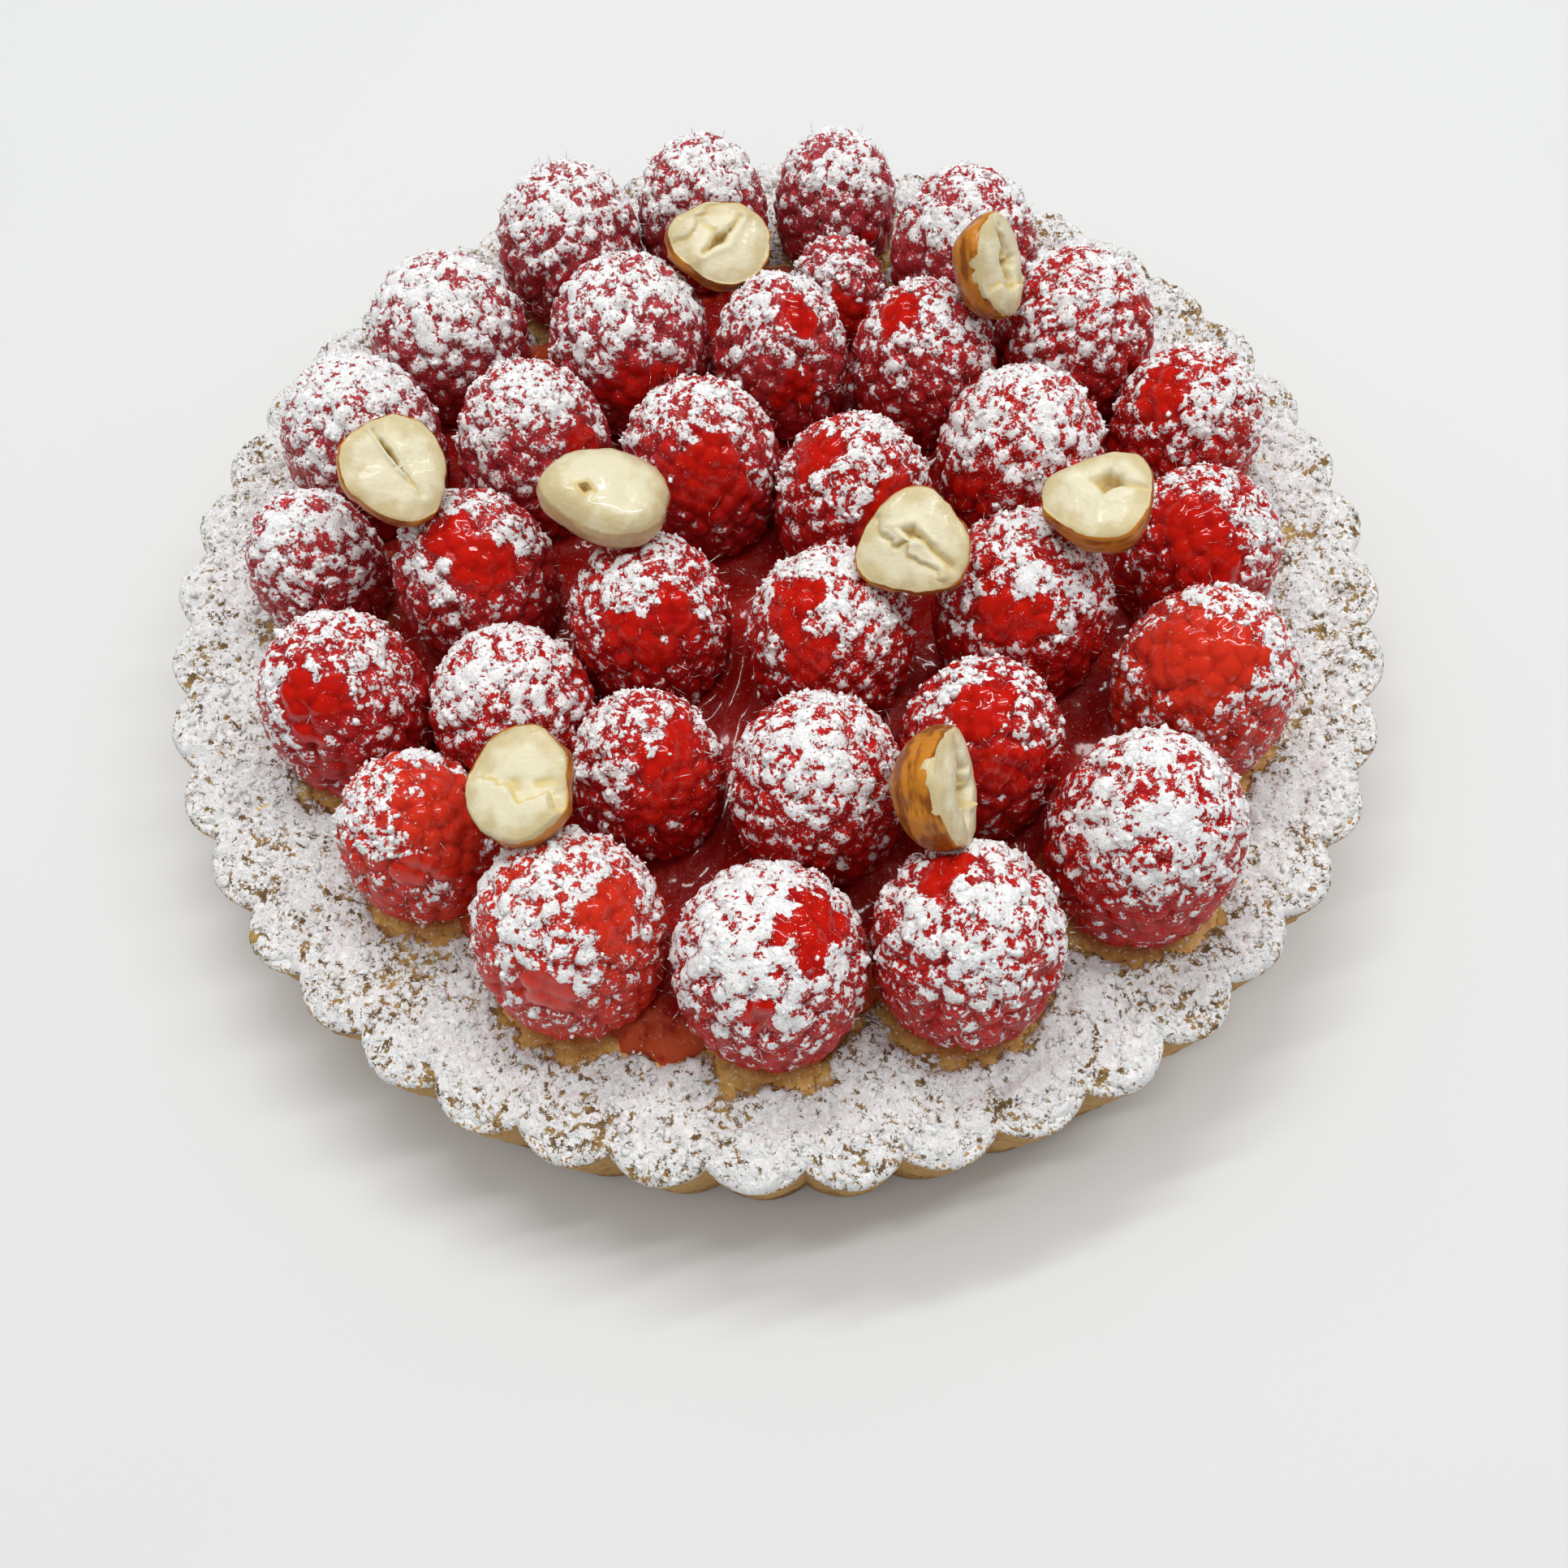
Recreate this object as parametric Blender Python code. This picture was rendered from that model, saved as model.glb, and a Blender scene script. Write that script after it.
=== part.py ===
"""A round fluted tart: shortcrust shell, baked nut filling, a thin layer of jam,
raspberries standing hollow side down, and hazelnut halves lying on them.

Metres, +Z up. The origin is the middle of the flat base.
"""

import math
import random

import bmesh
import bpy
from mathutils import Matrix, Vector

MM = 0.001
CONTACT_GAP = 0.3 * MM

# Crust
CRUST_HEIGHT = 21.0 * MM
FLUTES = 44
FLUTE_STEPS = 5
FLUTE_BEARING = math.radians(-90.4)
FLUTE_SHARPNESS = 0.8
BASE_NOTCH_RADIUS = 69.4 * MM
BASE_LOBE_RADIUS = 71.3 * MM
RIM_NOTCH_RADIUS = 72.5 * MM
RIM_LOBE_RADIUS = 75.3 * MM
RIM_EDGE_ROUNDING = 0.7 * MM
INNER_RIM_RADIUS = 69.2 * MM
INNER_FLOOR_RADIUS = 66.4 * MM
FLOOR_THICKNESS = 4.0 * MM
CRUST_CREASE = math.radians(35)

# Nut filling and jam
FILLING_STEPS = 72
FILLING_TOP = CRUST_HEIGHT - 0.6 * MM
JAM_RADIUS = 53.0 * MM
JAM_THICKNESS = 0.6 * MM
JAM_EDGE_THICKNESS = 0.4 * MM
JAM_EDGE_SLOPE = 1.2 * MM
JAM_STEPS = 144
JAM_WAVES = 5
JAM_WAVE_REACH = 1.0 * MM
JAM_WAVE_START = 0.6
JAM_CREASE = math.radians(40)
# Tongues of jam that ooze out between the berries: bearing in degrees, width in degrees, reach.
JAM_TONGUES = (
    (-103, 7, 8.5 * MM),
    (-129, 5, 6.0 * MM),
    (-82, 4, 3.0 * MM),
    (5, 5, 7.5 * MM),
    (27, 5, 6.0 * MM),
    (-37, 5, 3.0 * MM),
    (150, 6, 4.0 * MM),
)
JAM_TOP = FILLING_TOP + CONTACT_GAP + JAM_THICKNESS

# Raspberries: bearing in degrees, distance from the middle, width and height in millimetres.
BERRY_BASE = JAM_TOP + CONTACT_GAP
OUTER_BERRIES = (
    (78, 58.5, 16.5, 17.5),
    (96, 56.5, 17.5, 19.0),
    (115, 57.0, 19.0, 19.5),
    (137, 54.5, 20.5, 19.0),
    (159, 53.0, 19.5, 21.5),
    (178, 54.5, 16.0, 18.5),
    (-160, 52.5, 19.0, 21.0),
    (-139, 53.5, 17.0, 19.5),
    (-116, 53.5, 20.5, 22.5),
    (-93, 53.0, 20.5, 21.5),
    (-71, 55.0, 20.5, 22.0),
    (-48, 56.5, 21.0, 24.5),
    (-26, 53.0, 20.0, 22.5),
    (-5, 51.0, 19.0, 19.0),
    (15, 54.5, 18.5, 19.0),
    (36, 50.5, 20.0, 20.5),
    (58, 53.5, 19.0, 20.5),
)
MIDDLE_BERRIES = (
    (84, 29.5, 17.0, 20.5),
    (116, 37.0, 21.0, 20.5),
    (149, 33.0, 19.0, 21.0),
    (-177, 35.0, 19.0, 20.5),
    (-146, 36.5, 18.5, 19.5),
    (-117, 33.0, 17.0, 20.0),
    (-84, 33.5, 19.5, 22.5),
    (-53, 36.5, 18.0, 21.5),
    (-20, 31.0, 21.0, 20.5),
    (18, 33.0, 20.5, 21.0),
    (52, 34.5, 18.5, 19.5),
    (75, 44.0, 13.0, 13.5),
)
CENTRE_BERRIES = (
    (122, 14.5, 19.5, 21.0),
    (28, 12.0, 19.0, 20.5),
    (-65, 15.0, 19.5, 20.5),
    (-148, 17.0, 19.0, 19.5),
)
DRUPELETS = 44
FIRST_DRUPELET = 0.35
DRUPELET_JITTER = 0.12
LEVEL_SAMPLES = 60
GROOVE_SCALE = 0.985
CORE_LEVEL = 0.45
BASE_LEVEL = 0.01
WIDEST_LEVEL = 0.38
BASE_NARROWING = 0.10
BASE_EDGE = 0.95
BASE_POWER = 1.8
DOME_POWER = 2.1
BERRY_CREASE = math.radians(60)
GOLDEN_ANGLE = math.pi * (3.0 - math.sqrt(5.0))
BERRY_SEED = 7

# Hazelnut halves: place x and y, length, width and depth of the half in millimetres, then the
# tilt of the cut face from level, the bearing it tilts towards, and its turn, in degrees.
HAZELNUTS = (
    (-3.9, 39.5, 13.2, 10.6, 6.2, 28, -62, -4),
    (28.6, 28.9, 12.6, 10.2, 5.8, 54, -26, 122),
    (-41.3, 2.3, 12.4, 11.6, 6.2, 30, -46, 124),
    (-18.0, -1.8, 14.6, 11.6, 7.2, 13, -6, -11),
    (15.6, -10.4, 12.2, 11.6, 6.0, 26, -103, 14),
    (35.9, -8.8, 12.2, 11.0, 6.8, 16, 180, -14),
    (-26.6, -37.9, 12.2, 11.2, 6.2, 16, -115, 83),
    (14.9, -40.5, 12.4, 11.4, 6.8, 62, -10, 110),
)
NUT_SEGMENTS = 14
NUT_BLUNTNESS = 0.12
NUT_DOME_ANGLES = (22, 45, 68)
CAVITY_SCALE = 0.36
CAVITY_SLENDERNESS = 0.62
CAVITY_DEPTH = 0.30
NUT_CREASE = math.radians(50)

# Colours, linear RGB, and roughnesses
CRUST_COLOUR = (0.60, 0.36, 0.15)
CRUST_ROUGHNESS = 0.7
FILLING_COLOUR = (0.42, 0.25, 0.09)
FILLING_ROUGHNESS = 0.8
JAM_COLOUR = (0.22, 0.012, 0.010)
JAM_ROUGHNESS = 0.15
BERRY_COLOUR = (0.50, 0.012, 0.022)
BERRY_ROUGHNESS = 0.35
HAZELNUT_COLOUR = (0.78, 0.66, 0.36)
HAZELNUT_ROUGHNESS = 0.5


def clear_scene():
    for old in list(bpy.data.objects):
        bpy.data.objects.remove(old)


def plain_material(name, colour, roughness):
    material = bpy.data.materials.new(name)
    material.use_nodes = True
    shader = material.node_tree.nodes["Principled BSDF"]
    shader.inputs["Base Color"].default_value = (*colour, 1.0)
    shader.inputs["Roughness"].default_value = roughness
    shader.inputs["Metallic"].default_value = 0.0
    return material


def add_object(name, bm, material, crease=None):
    """Turns the bmesh into an object whose faces point outwards, creased above the angle."""
    bmesh.ops.recalc_face_normals(bm, faces=bm.faces)
    mesh = bpy.data.meshes.new(name)
    bm.to_mesh(mesh)
    bm.free()
    mesh.materials.append(material)
    if crease is not None:
        mesh.shade_smooth()
        mesh.set_sharp_from_angle(angle=crease)
    part = bpy.data.objects.new(name, mesh)
    bpy.context.scene.collection.objects.link(part)
    return part


def add_ring(bm, radius_at, height, steps):
    """A closed ring of vertices; radius_at takes a bearing."""
    ring = []
    for step in range(steps):
        bearing = FLUTE_BEARING + math.tau * step / steps
        radius = radius_at(bearing)
        ring.append(bm.verts.new((radius * math.cos(bearing), radius * math.sin(bearing), height)))
    return ring


def join_rings(bm, lower, upper):
    """A band of triangles between two rings of the same length."""
    count = len(lower)
    for i in range(count):
        j = (i + 1) % count
        bm.faces.new((lower[i], lower[j], upper[j]))
        bm.faces.new((lower[i], upper[j], upper[i]))


def cap_ring(bm, ring, height):
    """A fan from a middle point at the given height."""
    middle = bm.verts.new((0.0, 0.0, height))
    for i, vertex in enumerate(ring):
        bm.faces.new((middle, vertex, ring[(i + 1) % len(ring)]))


def fluted(notch_radius, lobe_radius):
    """Round lobes that meet in sharp notches, as a fluted tin presses them."""

    def radius_at(bearing):
        phase = (bearing - FLUTE_BEARING) * FLUTES / 2
        return notch_radius + (lobe_radius - notch_radius) * abs(math.sin(phase)) ** FLUTE_SHARPNESS

    return radius_at


def round_ring(radius):
    return lambda bearing: radius


def build_crust():
    steps = FLUTES * FLUTE_STEPS
    bm = bmesh.new()
    base = add_ring(bm, fluted(BASE_NOTCH_RADIUS, BASE_LOBE_RADIUS), 0.0, steps)
    shoulder = add_ring(
        bm,
        fluted(RIM_NOTCH_RADIUS, RIM_LOBE_RADIUS),
        CRUST_HEIGHT - RIM_EDGE_ROUNDING,
        steps,
    )
    rim = add_ring(
        bm,
        fluted(RIM_NOTCH_RADIUS - RIM_EDGE_ROUNDING, RIM_LOBE_RADIUS - RIM_EDGE_ROUNDING),
        CRUST_HEIGHT,
        steps,
    )
    inner_rim = add_ring(bm, round_ring(INNER_RIM_RADIUS), CRUST_HEIGHT, steps)
    inner_floor = add_ring(bm, round_ring(INNER_FLOOR_RADIUS), FLOOR_THICKNESS, steps)
    cap_ring(bm, base, 0.0)
    join_rings(bm, base, shoulder)
    join_rings(bm, shoulder, rim)
    join_rings(bm, rim, inner_rim)
    join_rings(bm, inner_rim, inner_floor)
    cap_ring(bm, inner_floor, FLOOR_THICKNESS)
    material = plain_material("shortcrust", CRUST_COLOUR, CRUST_ROUGHNESS)
    add_object("crust", bm, material, CRUST_CREASE)


def build_filling():
    """Fills the shell to just under its rim."""
    bottom_height = FLOOR_THICKNESS + CONTACT_GAP
    wall_slope = (INNER_RIM_RADIUS - INNER_FLOOR_RADIUS) / (CRUST_HEIGHT - FLOOR_THICKNESS)
    bottom_radius = INNER_FLOOR_RADIUS - CONTACT_GAP + wall_slope * CONTACT_GAP
    top_radius = INNER_RIM_RADIUS - CONTACT_GAP - wall_slope * (CRUST_HEIGHT - FILLING_TOP)
    bm = bmesh.new()
    bottom = add_ring(bm, round_ring(bottom_radius), bottom_height, FILLING_STEPS)
    top = add_ring(bm, round_ring(top_radius), FILLING_TOP, FILLING_STEPS)
    cap_ring(bm, bottom, bottom_height)
    join_rings(bm, bottom, top)
    cap_ring(bm, top, FILLING_TOP)
    material = plain_material("baked_nut_filling", FILLING_COLOUR, FILLING_ROUGHNESS)
    add_object("nut_filling", bm, material)


def jam_radius_at(bearing):
    radius = JAM_RADIUS + JAM_WAVE_REACH * math.sin(JAM_WAVES * bearing + JAM_WAVE_START)
    for centre, width, reach in JAM_TONGUES:
        away = (math.degrees(bearing) - centre + 180) % 360 - 180
        radius += reach * math.exp(-((away / width) ** 2))
    return radius


def build_jam():
    """A thin uneven disc between the filling and the berries."""
    bm = bmesh.new()
    bottom_height = FILLING_TOP + CONTACT_GAP
    edge_height = bottom_height + JAM_EDGE_THICKNESS
    bottom = add_ring(bm, jam_radius_at, bottom_height, JAM_STEPS)
    edge = add_ring(bm, jam_radius_at, edge_height, JAM_STEPS)
    top = add_ring(bm, lambda bearing: jam_radius_at(bearing) - JAM_EDGE_SLOPE, JAM_TOP, JAM_STEPS)
    cap_ring(bm, bottom, bottom_height)
    join_rings(bm, bottom, edge)
    join_rings(bm, edge, top)
    cap_ring(bm, top, JAM_TOP)
    material = plain_material("raspberry_jam", JAM_COLOUR, JAM_ROUGHNESS)
    add_object("jam", bm, material, JAM_CREASE)


def berry_radius(level, width):
    """Half the berry's width at a level from 0, its base, to 1, its tip."""
    if level < WIDEST_LEVEL:
        below = (WIDEST_LEVEL - level) / WIDEST_LEVEL
        return width / 2 * (1 - BASE_NARROWING * below**BASE_POWER)
    above = (level - WIDEST_LEVEL) / (1 - WIDEST_LEVEL)
    return width / 2 * math.sqrt(max(0.0, 1 - above**DOME_POWER))


def berry_top(offset, width, height):
    """Height over the berry's base of its upper surface, this far from its axis."""
    across = min(1.0, 2 * offset / width)
    return height * (WIDEST_LEVEL + (1 - WIDEST_LEVEL) * (1 - across**2) ** (1 / DOME_POWER))


def drupelet_levels(width, height):
    """Levels of the drupelets from tip to base, so that each has the same area around it."""
    levels = [1 - i / LEVEL_SAMPLES for i in range(LEVEL_SAMPLES + 1)]
    areas = [0.0]
    for upper, lower in zip(levels, levels[1:]):
        upper_radius = berry_radius(upper, width)
        lower_radius = berry_radius(lower, width)
        slant = math.hypot(lower_radius - upper_radius, (upper - lower) * height)
        areas.append(areas[-1] + (upper_radius + lower_radius) * slant)
    found = []
    index = 0
    for n in range(DRUPELETS):
        wanted = areas[-1] * (n + FIRST_DRUPELET) / DRUPELETS
        while areas[index + 1] < wanted:
            index += 1
        share = (wanted - areas[index]) / (areas[index + 1] - areas[index])
        found.append(levels[index] + share * (levels[index + 1] - levels[index]))
    return found


def berry_bmesh(width, height, turn, draw):
    """One low cone for each drupelet, meeting its neighbours in grooves, over a flat base."""
    base_radius = BASE_EDGE * berry_radius(0.0, width)
    hull = bmesh.new()
    for n, level in enumerate(drupelet_levels(width, height)):
        bearing = turn + n * GOLDEN_ANGLE + draw.uniform(-DRUPELET_JITTER, DRUPELET_JITTER)
        radius = berry_radius(level, width)
        hull.verts.new((radius * math.cos(bearing), radius * math.sin(bearing), level * height))
    hull.verts.new((0.0, 0.0, 0.0))
    bmesh.ops.convex_hull(hull, input=hull.verts)
    bmesh.ops.triangulate(hull, faces=hull.faces)
    hull.verts.index_update()
    hull.faces.index_update()
    core = Vector((0.0, 0.0, height * CORE_LEVEL))
    bm = bmesh.new()
    tips = {vertex.index: bm.verts.new(vertex.co) for vertex in hull.verts}
    grooves = {}
    for face in hull.faces:
        place = core + (face.calc_center_median() - core) * GROOVE_SCALE
        if any(vertex.co.z < height * BASE_LEVEL for vertex in face.verts):
            place = Vector((place.x, place.y, 0.0)).normalized() * base_radius
        grooves[face.index] = bm.verts.new(place)
    for edge in hull.edges:
        left, right = (grooves[face.index] for face in edge.link_faces)
        for vertex in edge.verts:
            bm.faces.new((tips[vertex.index], left, right))
    hull.free()
    return bm


def berry_places():
    """The place, width and height of each berry, in metres."""
    for bearing, distance, width, height in OUTER_BERRIES + MIDDLE_BERRIES + CENTRE_BERRIES:
        angle = math.radians(bearing)
        yield (
            distance * MM * math.cos(angle),
            distance * MM * math.sin(angle),
            width * MM,
            height * MM,
        )


def build_berries():
    material = plain_material("raspberry", BERRY_COLOUR, BERRY_ROUGHNESS)
    draw = random.Random(BERRY_SEED)
    for number, (x, y, width, height) in enumerate(berry_places(), start=1):
        bm = berry_bmesh(width, height, draw.uniform(0, math.tau), draw)
        berry = add_object(f"berry_{number:02d}", bm, material, BERRY_CREASE)
        berry.location = (x, y, BERRY_BASE)


def nut_bmesh(length, width, depth):
    """Half a nut, round below, its flat cut face level with the origin and hollowed.

    One end is blunter than the other.
    """
    bm = bmesh.new()
    bearings = [math.tau * i / NUT_SEGMENTS for i in range(NUT_SEGMENTS)]

    def bluntness(bearing):
        return 1 + NUT_BLUNTNESS * math.cos(bearing)

    def oval(scale_x, scale_y, height):
        return [
            bm.verts.new(
                (
                    length / 2 * scale_x * math.cos(bearing),
                    width / 2 * scale_y * math.sin(bearing) * bluntness(bearing),
                    height,
                )
            )
            for bearing in bearings
        ]

    rings = [oval(1.0, 1.0, 0.0)]
    for degrees in NUT_DOME_ANGLES:
        angle = math.radians(degrees)
        rings.append(oval(math.cos(angle), math.cos(angle), -depth * math.sin(angle)))
    for upper, lower in zip(rings, rings[1:]):
        join_rings(bm, lower, upper)
    bottom = bm.verts.new((0.0, 0.0, -depth))
    for i in range(NUT_SEGMENTS):
        bm.faces.new((bottom, rings[-1][i], rings[-1][(i + 1) % NUT_SEGMENTS]))
    mouth = oval(CAVITY_SCALE, CAVITY_SCALE * CAVITY_SLENDERNESS, 0.0)
    join_rings(bm, rings[0], mouth)
    hollow = bm.verts.new((0.0, 0.0, -depth * CAVITY_DEPTH))
    for i in range(NUT_SEGMENTS):
        bm.faces.new((hollow, mouth[i], mouth[(i + 1) % NUT_SEGMENTS]))
    return bm


def resting_height(points, x, y):
    """How high the points must be lifted to clear every berry by the contact gap."""
    lift = -1.0
    for berry_x, berry_y, width, height in berry_places():
        for point in points:
            offset = math.hypot(x + point.x - berry_x, y + point.y - berry_y)
            if offset < width / 2:
                surface = BERRY_BASE + berry_top(offset, width, height)
                lift = max(lift, surface + CONTACT_GAP - point.z)
    return lift


def centre_on_axis(bm):
    """Moves the mesh sideways until its bounds are centred on the Z axis."""
    xs = [vertex.co.x for vertex in bm.verts]
    ys = [vertex.co.y for vertex in bm.verts]
    bm.transform(Matrix.Translation((-(min(xs) + max(xs)) / 2, -(min(ys) + max(ys)) / 2, 0.0)))


def build_hazelnuts():
    material = plain_material("hazelnut", HAZELNUT_COLOUR, HAZELNUT_ROUGHNESS)
    for number, nut in enumerate(HAZELNUTS, start=1):
        x, y, length, width, depth = (value * MM for value in nut[:5])
        tilt, bearing, turn = (math.radians(value) for value in nut[5:])
        lean = Matrix.Rotation(tilt, 4, (-math.sin(bearing), math.cos(bearing), 0.0))
        bm = nut_bmesh(length, width, depth)
        bm.transform(lean @ Matrix.Rotation(turn, 4, "Z"))
        centre_on_axis(bm)
        lift = resting_height([vertex.co for vertex in bm.verts], x, y)
        half = add_object(f"hazelnut_{number}", bm, material, NUT_CREASE)
        half.location = (x, y, lift)


def main():
    clear_scene()
    build_crust()
    build_filling()
    build_jam()
    build_berries()
    build_hazelnuts()


main()
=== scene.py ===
"""The looks of a raspberry hazelnut tart: fluted shell, baked nut cream, jam, dusted raspberries,
hazelnut halves and icing sugar.

Metres, +Z up. The side that faces the viewer is -Y.
"""

import math
import random

import bmesh
import bpy
import numpy as np
from mathutils import Matrix, Vector, noise


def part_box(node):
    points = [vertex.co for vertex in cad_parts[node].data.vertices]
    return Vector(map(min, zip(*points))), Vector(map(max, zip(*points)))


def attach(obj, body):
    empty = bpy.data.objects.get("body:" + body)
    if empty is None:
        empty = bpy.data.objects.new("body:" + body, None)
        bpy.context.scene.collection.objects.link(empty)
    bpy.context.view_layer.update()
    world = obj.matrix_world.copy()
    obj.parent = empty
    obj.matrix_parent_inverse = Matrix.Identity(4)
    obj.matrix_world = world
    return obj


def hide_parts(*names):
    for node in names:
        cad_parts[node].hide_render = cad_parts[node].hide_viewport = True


MM = 0.001
GOLDEN_ANGLE = math.pi * (3.0 - math.sqrt(5.0))

# Camera: place, tilt from straight down, roll and field of view
CAMERA_PLACE = Vector((-0.00007, -0.109887, 0.182858))
CAMERA_TILT = math.radians(26.95)
CAMERA_ROLL = math.radians(-3.76)
FIELD_OF_VIEW = math.radians(53.479)
CAMERA_NEAR = 10 * MM
CAMERA_TURN = Matrix.Rotation(CAMERA_TILT, 4, "X") @ Matrix.Rotation(CAMERA_ROLL, 4, "Z")

# Stage. Each lamp has a name, place, size, power and whether it shows in gloss.
FLOOR_REACH = 3.0
SKY_STRENGTH = 0.44
LAMPS = (
    ("soft_box", (-0.15, 0.10, 0.9), (0.9, 0.7), 2.3, False),
    ("tube_left", (-0.10, 0.40, 1.0), (0.7, 0.05), 3.1, True),
    ("tube_right", (0.35, 0.05, 0.9), (0.05, 0.6), 2.6, True),
)

# Shell
FLUTES = 44
FLUTE_STEPS = 20
FLUTE_BEARING = math.radians(-90.4)
FLUTE_SHARPNESS = 0.8
BASE_NOTCH_RADIUS = 69.4 * MM
BASE_LOBE_RADIUS = 71.3 * MM
RIM_NOTCH_RADIUS = 72.5 * MM
RIM_LOBE_RADIUS = 75.1 * MM
RIM_EDGE_ROUNDING = 0.9 * MM
INNER_RIM_RADIUS = 69.2 * MM
INNER_FLOOR_RADIUS = 66.4 * MM
FLOOR_THICKNESS = 4.0 * MM
BASE_SHARES = (0.4, 0.97, 0.99)
WALL_RINGS = 16
RIM_EDGE_RINGS = 4
RIM_SHARES = (0.35, 0.7, 1.0)
FLUTE_UNEVENNESS = 0.5 * MM

# Nut cream and jam
CREAM_STEPS = 528
CREAM_RADIUS = 68.9 * MM
CREAM_FOOT_RADIUS = 66.0 * MM
CREAM_FOOT_GAP = 0.3 * MM
CREAM_ROUGH_RADIUS = 44.0 * MM
CREAM_MIDDLE_RADIUS = 20.0 * MM
CREAM_RINGS = 30
CREAM_PIT_SPACING = 1.6 * MM
JAM_RADIUS = 53.0 * MM
JAM_STEPS = 400
JAM_EDGE_RINGS = 12
JAM_RINGS = 34
JAM_FOOT = 0.4 * MM
JAM_EDGE_ROUNDING = 2.2 * MM
JAM_CLIMB = 0.8 * MM
JAM_CLIMB_REACH = 0.9 * MM
JAM_WAVES = 0.35 * MM
# Tongues of jam that ooze out between the berries: bearing in degrees, width in degrees, reach.
JAM_TONGUES = (
    (-105, 11, 10.0 * MM),
    (-129, 5, 3.5 * MM),
    (-82, 4, 3.0 * MM),
    (5, 5, 7.5 * MM),
    (27, 5, 6.0 * MM),
    (-37, 5, 3.0 * MM),
    (150, 6, 4.0 * MM),
)

# Sugar on the rim. Its cover is about 1 where it is thick, and the sheet ends at the least
# cover. The halo is the bare ground that it leaves around a berry, in millimetres.
SUGAR_STEPS = 968
SUGAR_INNER_RADIUS = 47.0 * MM
SUGAR_RINGS = 58
SUGAR_THICKNESS = 0.9 * MM
SUGAR_LEAST = 0.06 * MM
SUGAR_FOOT = 0.15 * MM
SUGAR_EDGE_RISE = 0.05 * MM
RIM_STEP = (67.6 * MM, 69.6 * MM)
USUAL_COVER = 0.88
LEAST_COVER = 0.16
HALO_BEHIND = -2.4
HALO_IN_FRONT = 1.4
HALO_WANDER = 1.4
BARE_FADE = (-1.2 * MM, 2.6 * MM)
THINNER_FADE = (0.5 * MM, 5.0 * MM)
# Sides where less sugar fell: bearing and width in degrees, and how much less.
THIN_SIDES = ((-132, 26, 0.08), (5, 35, 0.10))
RIM_LUMPS = 4500
LUMP_COVER = 1.2

# Berries
BERRIES = 33
BERRY_POINTS = 6600
DRUPELET_SPACING = 2.75 * MM
DRUPELET_PACKING = 0.866
DRUPELET_ROUNDNESS = 0.66
DRUPELET_RELIEF = 1.2 * MM
DRUPELET_GROOVE = 0.6 * MM
SHINGLE_RELIEF = 0.6 * MM
RIPPLE_RELIEF = 0.12 * MM
BERRY_SUGAR_RELIEF = 0.35 * MM
WIDEST_LEVEL = 0.40
BASE_NARROWING = 0.12
DOME_POWER = 2.1
BASE_ROUNDING = 2.6 * MM
BERRY_SINK = 0.7 * MM
BERRY_SWELL = 0.5 * MM
LUMPS_PER_BERRY = 150
LUMP_FREE_HEIGHT = 2 * MM
HAIRS_PER_BERRY = 55
HAIR_FREE_HEIGHT = 3 * MM
HAIR_RINGS = 4
HAIR_SIDES = 3
HAIR_THICKNESS = 0.05 * MM
ORANGE_BERRIES = (8, 9, 13)
# Towards the back and the left the berries get ever more of a pale haze: painted light from
# # behind, stronger on their upper sides.
BACKLIGHT_HAZE_FADE = (-10 * MM, 55 * MM)

# How each berry is dusted: how much sugar, 1 for a full coat, then its bare wet patches as seen
# from the camera: how far right and up of its middle, and how wide, as shares of its radius.
BERRY_LOOKS = {
    1: (0.95, (0.3, -0.8, 0.35)),
    2: (1.0,),
    3: (0.95, (0.1, -0.8, 0.3)),
    4: (1.1, (-0.5, -0.8, 0.3)),
    5: (1.1,),
    6: (0.95,),
    7: (0.80, (-0.35, -0.15, 0.35)),
    8: (0.85, (0.45, 0.05, 0.62), (0.1, -0.45, 0.3)),
    9: (0.95, (0.45, 0.1, 0.30), (-0.2, -0.65, 0.26)),
    10: (1.1, (0.49, 0.33, 0.38), (-0.1, -0.6, 0.2)),
    11: (1.0, (-0.23, 0.62, 0.22)),
    12: (1.0,),
    13: (0.80, (-0.25, 0.2, 0.5), (0.15, 0.15, 0.35)),
    14: (0.78, (-0.1, 0.15, 0.42), (0.3, -0.3, 0.3)),
    15: (0.85, (-0.4, 0.3, 0.3)),
    16: (0.90,),
    17: (0.90,),
    18: (0.85, (0.3, 0.4, 0.25), (0.2, -0.6, 0.3)),
    19: (0.90, (0.1, -0.7, 0.45)),
    20: (0.90, (0.65, -0.1, 0.35)),
    21: (0.85, (0.1, 0.0, 0.35), (-0.3, 0.4, 0.25)),
    22: (0.95,),
    23: (0.80, (0.4, -0.1, 0.45), (0.45, 0.3, 0.3), (0.0, -0.6, 0.3)),
    24: (0.95,),
    25: (0.70, (0.0, 0.3, 0.3), (0.3, -0.4, 0.35)),
    26: (0.85, (-0.3, -0.2, 0.3), (0.1, -0.2, 0.25)),
    27: (1.0, (-0.6, -0.5, 0.35)),
    28: (0.85, (-0.35, 0.55, 0.3)),
    29: (0.65, (0.2, -0.6, 0.5)),
    30: (0.85, (0.1, -0.3, 0.6)),
    31: (0.75, (-0.5, 0.5, 0.3), (0.5, -0.3, 0.35)),
    32: (0.95, (-0.45, 0.3, 0.35), (-0.3, -0.3, 0.3)),
    33: (0.80, (0.35, -0.1, 0.4), (-0.2, -0.35, 0.35)),
}

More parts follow.
